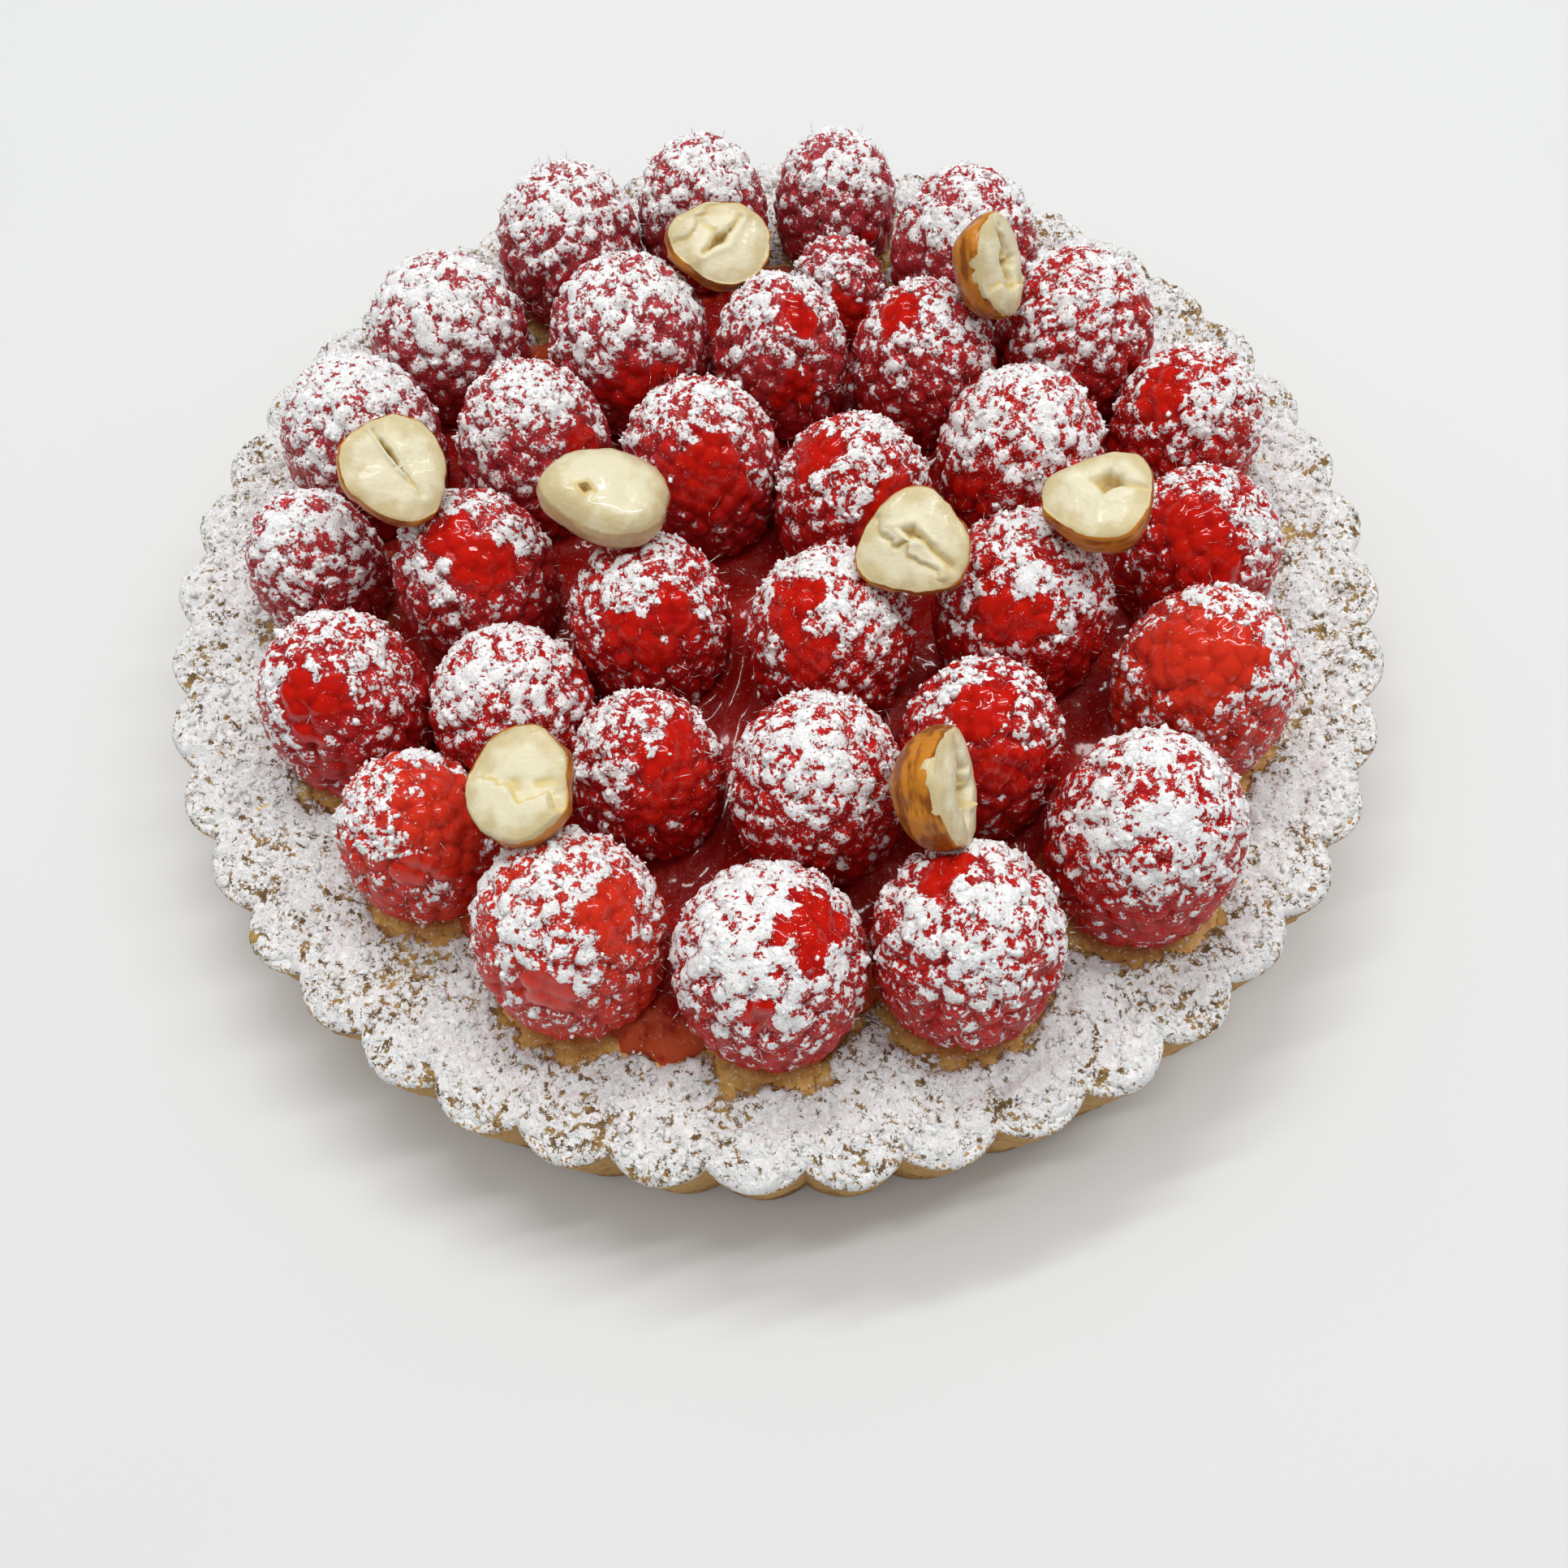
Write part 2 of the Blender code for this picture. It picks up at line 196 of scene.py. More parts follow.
# Hazelnut halves: size is length, width and depth in millimetres, and lie is the cut face's tilt,
# bearing and turn in degrees. Their marks are in the half's own axes, in millimetres: a cavity is
# (along, across, half length, half width, angle, depth), a crack is (along, across, angle, length,
# width, depth), a flake is (angle, offset, height) of a broken layer, and a peel is (bearing,
# width) of the dome that lost its skin. corners makes the outline three-sided, bevel lowers it.
NUT_STEPS = 96
NUT_FACE_RINGS = 30
NUT_DOME_RINGS = 12
BLANCHED_NUT = 4
PLAIN_NUT = dict(cavities=(), cracks=(), flakes=(), peel=(0, 0), bevel=0.35)
HAZELNUTS = (
    dict(size=(13.2, 10.6, 6.2), lie=(28, -62, -4), corners=(0.03, 40),
         cavities=((0.0, 0.3, 2.5, 0.9, 48, 1.5),), cracks=((1.0, 1.5, 55, 3.0, 0.3, 0.7),
         (-0.6, 1.0, 150, 3.0, 0.5, 0.35), (-1.2, -1.0, 225, 2.0, 0.4, 0.3)),
         flakes=((50, 4.0, 0.3),)),
    dict(size=(12.6, 10.2, 5.8), lie=(61, -26, 122), corners=(0.02, 0),
         cavities=((0.5, -0.6, 4.6, 1.9, 4, 1.8), (3.0, 0.2, 1.5, 0.7, 30, 0.8)),
         cracks=((-2.5, -0.5, 90, 1.6, 0.3, 0.7), (0.5, -1.6, 80, 2.6, 0.3, -0.7)),
         flakes=((95, 2.6, 0.4),), peel=(95, 0.5)),
    dict(size=(12.4, 11.6, 6.2), lie=(30, -46, 124), corners=(0.025, 60),
         cavities=((1.9, -0.2, 3.4, 0.32, 4, 1.6),), cracks=((-1.2, -0.4, 186, 3.4, 0.3, 0.35),)),
    dict(size=(14.6, 11.6, 7.2), lie=(13, -6, -11), corners=(0.0, 0),
         cavities=((-2.1, -1.7, 0.55, 0.55, 0, 0.8), (-2.1, -1.7, 1.8, 1.5, 0, 0.1)), bevel=1.8),
    dict(size=(12.2, 11.6, 6.0), lie=(26, -103, 14), corners=(0.06, 65),
         cavities=((0.2, 0.9, 1.3, 0.8, -40, 0.8),), cracks=((0.8, 0.4, -62, 5.5, 0.35, 0.8),
         (-3.0, 1.8, -50, 1.2, 0.15, 0.4), (-0.8, 0.4, 200, 1.6, 0.25, 0.3)),
         flakes=((-62, -1.2, 0.45),)),
    dict(size=(12.2, 11.0, 6.8), lie=(16, 180, -14), corners=(0.05, 178),
         cavities=((0.8, 1.3, 2.6, 1.7, -8, 1.7),), cracks=((2.6, 0.9, -12, 3.2, 0.35, 0.5),)),
    dict(size=(12.4, 10.6, 6.2), lie=(16, -115, 76), corners=(0.05, 120),
         cracks=((0.4, -1.6, -70, 2.6, 0.5, 0.3), (-0.6, 0.2, 10, 1.8, 0.9, 0.3)),
         flakes=((80, 0.9, 1.0),)),
    dict(size=(12.4, 11.4, 6.8), lie=(66, -10, 110), corners=(0.03, 90),
         cavities=((-0.2, -0.4, 4.2, 2.6, 2, 2.4),),
         cracks=((0.2, -2.4, 85, 3.6, 0.4, -1.0), (-1.8, -2.2, 96, 3.2, 0.5, -1.0),
         (1.9, -2.0, 88, 2.6, 0.25, 0.8)), peel=(85, 0.55)),
)

# Colours, linear RGB
SUGAR_RGB = (0.95, 0.95, 0.95)
# Painted shade for the creases of the powder, and for the rim's greyer powder.
SUGAR_PAINTED_SHADE_RGB = (0.68, 0.68, 0.66)
# Brown ground darkened with painted shade, for the rim's deepest gaps.
SUGAR_SHADED_PIT_RGB = (0.17, 0.10, 0.045)
SUGAR_GAP_RGB = (0.38, 0.23, 0.08)
BERRY_BRIGHT_RGB = (0.57, 0.010, 0.004)
BERRY_DEEP_RGB = (0.42, 0.005, 0.004)
BERRY_ORANGE_RGB = (0.70, 0.040, 0.016)
# Painted shade for the grooves between the drupelets.
BERRY_GROOVE_SHADE_RGB = (0.26, 0.003, 0.004)
BERRY_FILM_RGB = (0.53, 0.034, 0.036)
# Painted haze of light from behind, on the back berries.
BERRY_BACKLIGHT_HAZE_RGB = (0.42, 0.055, 0.070)
BERRY_PALE_RGB = (0.55, 0.065, 0.070)
HAIR_RGB = (0.20, 0.055, 0.03)
JAM_DEEP_RGB = (0.33, 0.006, 0.004)
JAM_THIN_RGB = (0.54, 0.080, 0.025)
CREAM_RGB = (0.80, 0.50, 0.15)
CREAM_DARK_RGB = (0.58, 0.32, 0.075)
CRUST_RGB = (0.61, 0.36, 0.12)
CRUST_BROWN_RGB = (0.36, 0.17, 0.045)
NUT_RGB = (0.79, 0.73, 0.51)
NUT_EDGE_RGB = (0.64, 0.53, 0.29)
NUT_WARM_RGB = (0.72, 0.57, 0.25)
# Brown spot and painted shade, for the deepest hollows, cracks and flake feet.
NUT_PIT_AND_SHADE_RGB = (0.36, 0.21, 0.06)
SKIN_RGB = (0.60, 0.225, 0.018)
SKIN_DARK_RGB = (0.28, 0.075, 0.006)
FLOOR_RGB = (0.76, 0.77, 0.77)

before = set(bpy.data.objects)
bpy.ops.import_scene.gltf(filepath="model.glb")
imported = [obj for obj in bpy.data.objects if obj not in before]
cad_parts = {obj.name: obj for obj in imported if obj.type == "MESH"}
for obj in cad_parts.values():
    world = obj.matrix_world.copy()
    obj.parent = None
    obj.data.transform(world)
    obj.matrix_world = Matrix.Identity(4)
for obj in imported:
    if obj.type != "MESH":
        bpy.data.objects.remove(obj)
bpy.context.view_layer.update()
RIM_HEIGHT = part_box("crust")[1].z
CREAM_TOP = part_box("nut_filling")[1].z
JAM_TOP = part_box("jam")[1].z


# ---- numbers


def rise(values, low, high):
    """0 below low, 1 above high, and a smooth rise between them."""
    share = np.clip((values - low) / (high - low), 0.0, 1.0)
    return share * share * (3 - 2 * share)


def fall(values, low, high):
    return 1 - rise(values, low, high)


def noise_at(points, size, seed, octaves=2):
    """Smooth noise, mostly from -0.5 to 0.5, whose bumps are about this size."""
    shift = Vector((17.3, 5.1, 9.7)) * seed
    scaled = (points / size).tolist()
    return np.array([noise.fractal(Vector(p) + shift, 1.0, 2.0, octaves) for p in scaled])


def cells_at(points, size, seed):
    """Distance to the nearest of scattered points this far apart: 0 at one, near 1 between."""
    shift = Vector((3.9, 11.7, 7.3)) * seed
    scaled = (points / size).tolist()
    return np.array([noise.voronoi(Vector(p) + shift)[0][0] for p in scaled])


def unit(vectors):
    return vectors / np.maximum(np.linalg.norm(vectors, axis=-1, keepdims=True), 1e-12)


def point_normals(points, triangles):
    """Outward directions at the points of a closed mesh of triangles."""
    a, b, c = (points[triangles[:, corner]] for corner in range(3))
    across = np.cross(b - a, c - a)
    normals = np.zeros_like(points)
    for corner in range(3):
        np.add.at(normals, triangles[:, corner], across)
    return unit(normals)


def uniform_draws(draw, low, high, count):
    return np.array([draw.uniform(low, high) for _ in range(count)])


# ---- meshes


def add_object(name, data):
    item = bpy.data.objects.new(name, data)
    bpy.context.scene.collection.objects.link(item)
    return item


def add_piece(name, points, faces, material, replaces=(), values=None):
    """A closed mesh that rides on the tart. values holds one number a point for the material."""
    mesh = bpy.data.meshes.new(name)
    mesh.from_pydata(points.tolist(), [], faces)
    bm = bmesh.new()
    bm.from_mesh(mesh)
    bmesh.ops.recalc_face_normals(bm, faces=bm.faces)
    bm.to_mesh(mesh)
    bm.free()
    mesh.shade_smooth()
    for key, numbers in (values or {}).items():
        attribute = mesh.attributes.new(key, "FLOAT", "POINT")
        attribute.data.foreach_set("value", np.asarray(numbers, np.float32))
    mesh.materials.append(material)
    piece = add_object(name, mesh)
    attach(piece, "root")
    if replaces:
        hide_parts(*replaces)


def ring_faces(rings, steps):
    """Quads between rings of points that follow each other."""
    numbers = np.arange(rings * steps).reshape(rings, steps)
    beside = np.roll(numbers, -1, axis=1)
    return np.stack((numbers[:-1], beside[:-1], beside[1:], numbers[1:]), -1).reshape(-1, 4)


def lathe(rings):
    """Points and faces of a closed form from rings of points, capped at both ends."""
    count, steps = rings.shape[:2]
    points = rings.reshape(-1, 3)
    middles = np.array([rings[0].mean(axis=0), rings[-1].mean(axis=0)])
    faces = ring_faces(count, steps).tolist()
    first, last = len(points), len(points) + 1
    end = (count - 1) * steps
    for i in range(steps):
        j = (i + 1) % steps
        faces.append((first, j, i))
        faces.append((last, end + i, end + j))
    return np.concatenate((points, middles)), faces


def ring(bearings, radii, heights):
    """Points at these bearings, radii and heights, each a number or an array."""
    radii, heights, _ = np.broadcast_arrays(radii, heights, bearings)
    return np.stack((radii * np.cos(bearings), radii * np.sin(bearings), heights), -1)


def round_bearings(steps):
    return FLUTE_BEARING + math.tau * np.arange(steps) / steps


def bearing_of(points):
    return np.arctan2(points[:, 1], points[:, 0])


def lumps(centres, radii, seed):
    """One small uneven lump at each place, as joined points and faces."""
    draw = np.random.default_rng(seed)
    bm = bmesh.new()
    bmesh.ops.create_icosphere(bm, subdivisions=1, radius=1.0)
    shape = np.array([v.co for v in bm.verts])
    triangles = np.array([[v.index for v in f.verts] for f in bm.faces])
    bm.free()
    count = len(centres)
    uneven = draw.uniform(0.55, 1.35, (count, len(shape), 1))
    stretch = draw.uniform(0.6, 1.3, (count, 1, 3))
    local = shape[None] * uneven * stretch * np.asarray(radii)[:, None, None]
    points = local + centres[:, None, :]
    faces = triangles[None] + len(shape) * np.arange(count)[:, None, None]
    return points.reshape(-1, 3), faces.reshape(-1, 3).tolist()


# ---- materials


class Surface:
    """A Principled material whose sockets are fed by short chains of nodes."""

    def __init__(self, name, **constants):
        self.material = bpy.data.materials.new(name)
        self.material.use_nodes = True
        self.tree = self.material.node_tree
        self.shader = self.tree.nodes["Principled BSDF"]
        for socket, value in constants.items():
            self.shader.inputs[socket.replace("_", " ")].default_value = value
        self.place = self.tree.nodes.new("ShaderNodeTexCoord").outputs["Object"]

    def feed(self, socket, value):
        """Puts a node's output, or a plain value, into a socket."""
        if isinstance(value, bpy.types.NodeSocket):
            self.tree.links.new(value, socket)
        else:
            socket.default_value = (*value, 1.0) if isinstance(value, tuple) else value

    def set(self, name, value):
        self.feed(self.shader.inputs[name], value)

    def node(self, kind, **inputs):
        """A new node whose inputs hold these values, or are fed by these outputs."""
        node = self.tree.nodes.new("ShaderNode" + kind)
        for name, value in inputs.items():
            self.feed(node.inputs[name.replace("_", " ")], value)
        return node

    def attribute(self, name):
        node = self.node("Attribute")
        node.attribute_name = name
        return node.outputs["Fac"]

    def noise(self, size, detail=2.0, roughness=0.5, place=None):
        """Cloudy noise from 0 to 1, its patches about this size."""
        return self.node("TexNoise", Vector=place or self.place, Scale=1 / size, Detail=detail,
                         Roughness=roughness).outputs["Fac"]

    def cells(self, size):
        """Distance to the nearest scattered point, 0 to about 1."""
        return self.node("TexVoronoi", Vector=self.place, Scale=1 / size).outputs["Distance"]

    def vector(self, *names):
        """A place made of three attributes, for noise that follows a form."""
        node = self.node("CombineXYZ")
        for socket, name in zip(node.inputs, names):
            self.feed(socket, self.attribute(name))
        return node.outputs["Vector"]

    def maths(self, operation, first, second):
        node = self.node("Math")
        node.operation = operation
        self.feed(node.inputs[0], first)
        self.feed(node.inputs[1], second)
        return node.outputs[0]

    def times(self, first, second):
        return self.maths("MULTIPLY", first, second)

    def total(self, first, *shares):
        """first plus each value times its weight."""
        for value, weight in shares:
            first = self.maths("ADD", first, self.times(value, weight))
        return first

    def swing(self, value, middle=0.5):
        """The value less its middle."""
        return self.maths("SUBTRACT", value, middle)

    def step(self, value, low, high, least=0.0, most=1.0):
        """least below low, most above high, and a smooth rise between."""
        node = self.node("MapRange", Value=value, From_Min=low, From_Max=high, To_Min=least,
                         To_Max=most)
        node.interpolation_type = "SMOOTHSTEP"
        return node.outputs["Result"]

    def mix(self, share, first, second):
        """A colour between two colours."""
        return self.node("MixRGB", Fac=share, Color1=first, Color2=second).outputs["Color"]

    def bump(self, height, distance, strength):
        node = self.node("Bump", Distance=distance, Strength=strength, Height=height)
        self.set("Normal", node.outputs["Normal"])


def powder_parts(s):
    """How high the powder puffs up, from 0 in the creases between its puffs, and its colour,
    which paints shade into those creases.
    """
    cloud = s.noise(0.9 * MM, 4.0, 0.68)
    puff = s.maths("ABSOLUTE", s.swing(cloud), 0.0)
    bright = s.total(puff, (s.swing(s.noise(0.25 * MM, 2.0, 0.6)), 0.15))
    # Painted shade: the creases between the puffs take the grey shade colour.
    colour = s.mix(s.step(bright, -0.01, 0.03), SUGAR_PAINTED_SHADE_RGB, SUGAR_RGB)
    return puff, colour


def sugar_surface():
    """White powder in puffs, with painted shade greying its creases."""
    s = Surface("icing_sugar", Roughness=1.0, Specular_IOR_Level=0.1)
    puff, colour = powder_parts(s)
    s.set("Base Color", colour)
    s.bump(s.step(puff, 0.0, 0.10), 0.07 * MM, 0.6)
    return s.material


def rim_sugar_surface():
    """Powder over pastry: where it is thin, clusters of small gaps show between the puffs, their
    brown ground darkened with painted shade. The powder is greyed with painted shade too.
    """
    s = Surface("rim_sugar", Roughness=1.0, Specular_IOR_Level=0.1)
    puff, colour = powder_parts(s)
    # The gaps gather in the creases, and their darkest colour is painted shade over the brown
    # ground.
    crease = s.maths("SUBTRACT", 1.0, s.step(puff, 0.0, 0.045))
    thick = s.total(s.attribute("cover"), (s.swing(s.noise(2.6 * MM)), 0.9),
                    (s.swing(s.noise(1.0 * MM, 4.0, 0.68)), 3.6), (crease, -0.3))
    powder = s.step(thick, 0.43, 0.50)
    pit = s.mix(s.step(s.noise(1.3 * MM), 0.4, 0.6), SUGAR_SHADED_PIT_RGB, SUGAR_GAP_RGB)
    pit = s.mix(s.step(s.attribute("cover"), 0.25, 0.65), CREAM_RGB, pit)
    # Painted shade: all of the rim's powder, its lumps too, is greyed to sit darker than the berry
    # tops.
    colour = s.mix(0.35, colour, SUGAR_PAINTED_SHADE_RGB)
    s.set("Base Color", s.mix(powder, pit, colour))
    s.bump(s.total(s.step(puff, 0.0, 0.10), (powder, 1.5)), 0.08 * MM, 0.7)
    return s.material


def berry_surface():
    """Wet red fruit under powder: the mesh says where sugar lies, where it is bare and wet, how
    much painted back-light haze it has, and where the grooves, darkened with painted shade, and
    the pale lower edges of the drupelets are. Noise breaks the powder up."""
    s = Surface("raspberry", Specular_IOR_Level=0.12, Subsurface_Weight=0.05,
                Subsurface_Radius=(1.0, 0.25, 0.2), Subsurface_Scale=1.0 * MM,
                Coat_Roughness=0.06, Coat_IOR=1.45)
    sugar, wet, groove = (s.attribute(key) for key in ("sugar", "wet", "groove"))
    puff, powder_colour = powder_parts(s)
    relief = s.step(puff, 0.0, 0.10)
    cloud = s.noise(0.75 * MM, 5.0, 0.72)
    crumbs = s.noise(1.5 * MM, 2.0, 0.5)
    height = s.total(sugar, (s.swing(cloud), 3.0), (s.swing(crumbs), 0.9),
                     (s.swing(relief, 0.8), 0.16))
    powder = s.step(height, 0.47, 0.54)
    speckle = s.total(s.attribute("dust"), (s.swing(s.noise(0.3 * MM, 2.0, 0.6)), 2.4))
    specks = s.step(speckle, 0.84, 0.90)
    white = s.maths("MAXIMUM", powder, s.times(specks, 0.85))
    depth = s.total(s.noise(2.6 * MM), (wet, 0.12))
    flesh = s.mix(s.step(depth, 0.38, 0.62), BERRY_DEEP_RGB, BERRY_BRIGHT_RGB)
    flesh = s.mix(s.attribute("orange"), flesh, BERRY_ORANGE_RGB)
    dry = s.maths("SUBTRACT", 1.0, wet)
    film = s.times(s.step(height, -0.1, 0.5), dry)
    flesh = s.mix(s.times(film, 0.5), flesh, BERRY_FILM_RGB)
    # Painted light: the back berries' pale haze stands for light from behind.
    flesh = s.mix(s.times(s.attribute("backlight_haze"), dry), flesh, BERRY_BACKLIGHT_HAZE_RGB)
    # Painted shade: the grooves between the drupelets are darkened.
    flesh = s.mix(s.times(groove, 0.7), flesh, BERRY_GROOVE_SHADE_RGB)
    flesh = s.mix(s.times(s.attribute("pale"), 0.6), flesh, BERRY_PALE_RGB)
    s.set("Base Color", s.mix(white, flesh, powder_colour))
    s.set("Roughness", s.step(white, 0.0, 1.0, s.step(wet, 0.0, 1.0, 0.40, 0.2), 0.9))
    bare = s.maths("SUBTRACT", 1.0, white)
    s.set("Coat Weight", s.times(bare, s.step(wet, 0.0, 1.0, 0.15, 0.9)))
    wobble = s.times(s.noise(1.5 * MM, 1.0), s.step(wet, 0.0, 1.0, 1.5, 3.0))
    s.bump(s.total(wobble, (white, 1.0), (s.times(relief, white), 0.6)),
           0.13 * MM, 0.7)
    return s.material


def hair_surface():
    s = Surface("berry_hair", Roughness=0.5)
    s.set("Base Color", s.mix(s.step(s.noise(0.6 * MM), 0.45, 0.6), HAIR_RGB, SUGAR_RGB))
    return s.material


def jam_surface():
    """Dark wet gel, orange where it is thin, with pulp in it."""
    s = Surface("raspberry_jam", Roughness=0.35, Specular_IOR_Level=0.1, Coat_Weight=0.6,
                Coat_Roughness=0.08, Coat_IOR=1.42)
    thin = s.total(s.attribute("thin"), (s.swing(s.noise(1.6 * MM, 4.0, 0.6)), 2.4))
    colour = s.mix(s.step(thin, 0.15, 0.95), JAM_DEEP_RGB, JAM_THIN_RGB)
    specks = s.step(s.noise(0.3 * MM, 1.0), 0.70, 0.76)
    s.set("Base Color", s.mix(s.times(specks, 0.5), colour, SUGAR_RGB))
    s.bump(s.total(s.noise(1.1 * MM), (s.noise(0.4 * MM), 0.3)), 0.35 * MM, 0.7)
    return s.material


def cream_surface():
    """Baked nut cream: tan crumb with dark pores, stained by juice, with a little dust."""
    s = Surface("baked_nut_cream", Roughness=0.5, Specular_IOR_Level=0.3)
    crumb = s.noise(0.9 * MM, 4.0, 0.65)
    colour = s.mix(s.step(crumb, 0.35, 0.60), CREAM_DARK_RGB, CREAM_RGB)
    stain = s.total(s.attribute("stain"), (s.swing(s.noise(2.5 * MM)), 1.2))
    colour = s.mix(s.step(stain, 0.2, 1.0, 0.0, 0.6), colour, JAM_THIN_RGB)
    specks = s.step(s.noise(0.35 * MM), 0.63, 0.68)
    s.set("Base Color", s.mix(s.times(specks, 0.8), colour, SUGAR_RGB))
    s.bump(s.total(crumb, (s.cells(0.8 * MM), 0.4)), 0.2 * MM, 0.7)
    return s.material


def crust_surface():
    """Dry shortcrust: pale gold with fine crumb and pores, browner near the base and in blotches,
    with painted shade browning its pores, dusted on top."""
    s = Surface("shortcrust", Specular_IOR_Level=0.3)
    grain = s.noise(0.6 * MM, 4.0, 0.65)
    pores = s.step(s.cells(1.2 * MM), 0.30, 0.15)
    # The pores add to the browning: painted shade in them.
    browned = s.total(s.attribute("brown"), (s.swing(s.noise(6 * MM, 3.0)), 2.6),
                      (s.swing(grain), 2.4), (pores, 0.4))
    colour = s.mix(s.step(browned, 0.0, 0.9), CRUST_RGB, CRUST_BROWN_RGB)
    dust = s.total(s.attribute("dust"), (s.swing(s.noise(0.4 * MM, 3.0)), 1.8))
    powder = s.step(dust, 0.55, 0.65)
    s.set("Base Color", s.mix(powder, colour, SUGAR_RGB))
    s.set("Roughness", s.step(powder, 0.0, 1.0, 0.7, 0.9))
    s.bump(s.total(powder, (grain, 8.0), (pores, -1.5)), 0.10 * MM, 0.8)
    return s.material


def nut_surface(name, blanched):
    """Waxy cream kernel, yellower in its hollows and darker in their deepest parts, which is
    partly a brown spot and partly painted shade, with a brown papery skin outside.
    """
    s = Surface(name, Specular_IOR_Level=0.4, Subsurface_Weight=0.1,
                Subsurface_Radius=(1.0, 0.8, 0.5), Subsurface_Scale=1.0 * MM)
    mottle = s.noise(2.2 * MM, 3.0)
    rim = s.total(s.attribute("edge"), (s.swing(mottle), 2.0))
    kernel = s.mix(s.step(rim, 0.2, 1.1), NUT_RGB, NUT_EDGE_RGB)
    warm = s.total(s.attribute("hollow_and_shade"), (s.swing(mottle), 0.6))
    kernel = s.mix(s.step(warm, 0.05, 0.60), kernel, NUT_WARM_RGB)
    # The deepest hollows, cracks and flake feet darken: partly a brown spot, partly painted shade.
    kernel = s.mix(s.step(warm, 0.65, 1.05, 0.0, 0.7), kernel, NUT_PIT_AND_SHADE_RGB)
    grain = s.noise(1.0, 3.0, 0.6, s.vector("grain_a", "grain_b", "grain_c"))
    streaks = s.total(grain, (s.swing(s.noise(2.5 * MM)), 0.4))
    skin_colour = s.mix(s.step(streaks, 0.57, 0.40), SKIN_RGB, SKIN_DARK_RGB)
    edge = s.total(s.attribute("skin"), (s.swing(s.noise(1.0 * MM, 3.0)), 1.2))
    skin = s.step(edge, 0.44, 0.56, 0.0, 0.28 if blanched else 1.0)
    s.set("Base Color", s.mix(skin, kernel, skin_colour))
    s.set("Roughness", s.step(skin, 0.0, 1.0, 0.28 if blanched else 0.42, 0.34))
    s.set("Coat Weight", 0.4 if blanched else 0.12)
    s.bump(s.total(s.noise(0.5 * MM), (grain, 1.2), (mottle, 0.8)), 0.12 * MM, 0.6)
    return s.material


def floor_surface():
    s = Surface("pale_floor", Roughness=0.6, Specular_IOR_Level=0.2)
    shade = tuple(0.97 * channel for channel in FLOOR_RGB)
    s.set("Base Color", s.mix(s.noise(60 * MM), FLOOR_RGB, shade))
    return s.material


# ---- shell, cream and jam


def flute_outline(bearings, notch_radius, lobe_radius):
    """Round lobes that meet in sharp notches, no two quite alike."""
    phase = (bearings - FLUTE_BEARING) * FLUTES / math.tau
    flute = np.floor(phase).astype(int) % FLUTES
    draw = np.random.default_rng(11)
    lower = draw.uniform(0.0, FLUTE_UNEVENNESS, FLUTES)[flute]
    across = np.abs(np.sin(math.pi * phase)) ** FLUTE_SHARPNESS
    return notch_radius + (lobe_radius - notch_radius - lower) * across


def shell_rings():
    """Rings of points under the base, up the fluted wall, over the rim and down inside."""
    bearings = round_bearings(FLUTES * FLUTE_STEPS)
    base = flute_outline(bearings, BASE_NOTCH_RADIUS, BASE_LOBE_RADIUS)
    rim = flute_outline(bearings, RIM_NOTCH_RADIUS, RIM_LOBE_RADIUS)
    shoulder = RIM_HEIGHT - RIM_EDGE_ROUNDING
    rings = [ring(bearings, base * share, 0.0) for share in BASE_SHARES]
    for share in np.linspace(0.02, 1.0, WALL_RINGS):
        rings.append(ring(bearings, base + (rim - base) * share, shoulder * share))
    for angle in np.linspace(0.0, math.pi / 2, RIM_EDGE_RINGS + 1)[1:]:
        inward = RIM_EDGE_ROUNDING * (1 - math.cos(angle))
        rings.append(ring(bearings, rim - inward, shoulder + RIM_EDGE_ROUNDING * math.sin(angle)))
    flat = rim - RIM_EDGE_ROUNDING
    for share in RIM_SHARES:
        rings.append(ring(bearings, flat + (INNER_RIM_RADIUS - flat) * share, RIM_HEIGHT))
    rings.append(ring(bearings, INNER_FLOOR_RADIUS, FLOOR_THICKNESS))
    return np.array(rings)


def build_shell():
    points, faces = lathe(shell_rings())
    height = points[:, 2] / RIM_HEIGHT
    wall = rise(height, 0.03, 0.15) * fall(height, 0.85, 0.98)
    dents = 0.5 * noise_at(points, 5 * MM, 1) + 0.25 * noise_at(points, 1.2 * MM, 2) - 0.2
    points += unit(points * (1, 1, 0)) * (wall * dents * MM)[:, None]
    brown = 0.7 * fall(height, 0.0, 0.35) + 0.3 * rise(height, 0.85, 0.97)
    dust = rise(height, 0.90, 1.0) * 0.75
    add_piece("pastry_shell", points, faces, crust_surface(), ("crust",),
              {"brown": brown, "dust": dust})


def build_cream(berries):
    bearings = round_bearings(CREAM_STEPS)
    rings = [ring(bearings, CREAM_FOOT_RADIUS, FLOOR_THICKNESS + CREAM_FOOT_GAP)]
    for radius in np.linspace(CREAM_RADIUS, CREAM_ROUGH_RADIUS, CREAM_RINGS):
        rings.append(ring(bearings, radius, CREAM_TOP))
    rings.append(ring(bearings, CREAM_MIDDLE_RADIUS, CREAM_TOP))
    points, faces = lathe(np.array(rings))
    top = points[:, 2] > CREAM_TOP - 0.1 * MM
    pits = rise(cells_at(points, CREAM_PIT_SPACING, 3), 0.3, 0.0)
    rough = np.minimum(0.7 * noise_at(points, 2.5 * MM, 3, 3) - 0.35 * pits, 0.4)
    points[:, 2] += top * rough * 0.6 * MM
    gap, _ = nearest_berry(points, berries)
    stain = np.exp(-np.maximum(gap + 2.0 * MM, 0) / (1.5 * MM))
    add_piece("baked_cream", points, faces, cream_surface(), ("nut_filling",),
              {"stain": stain})


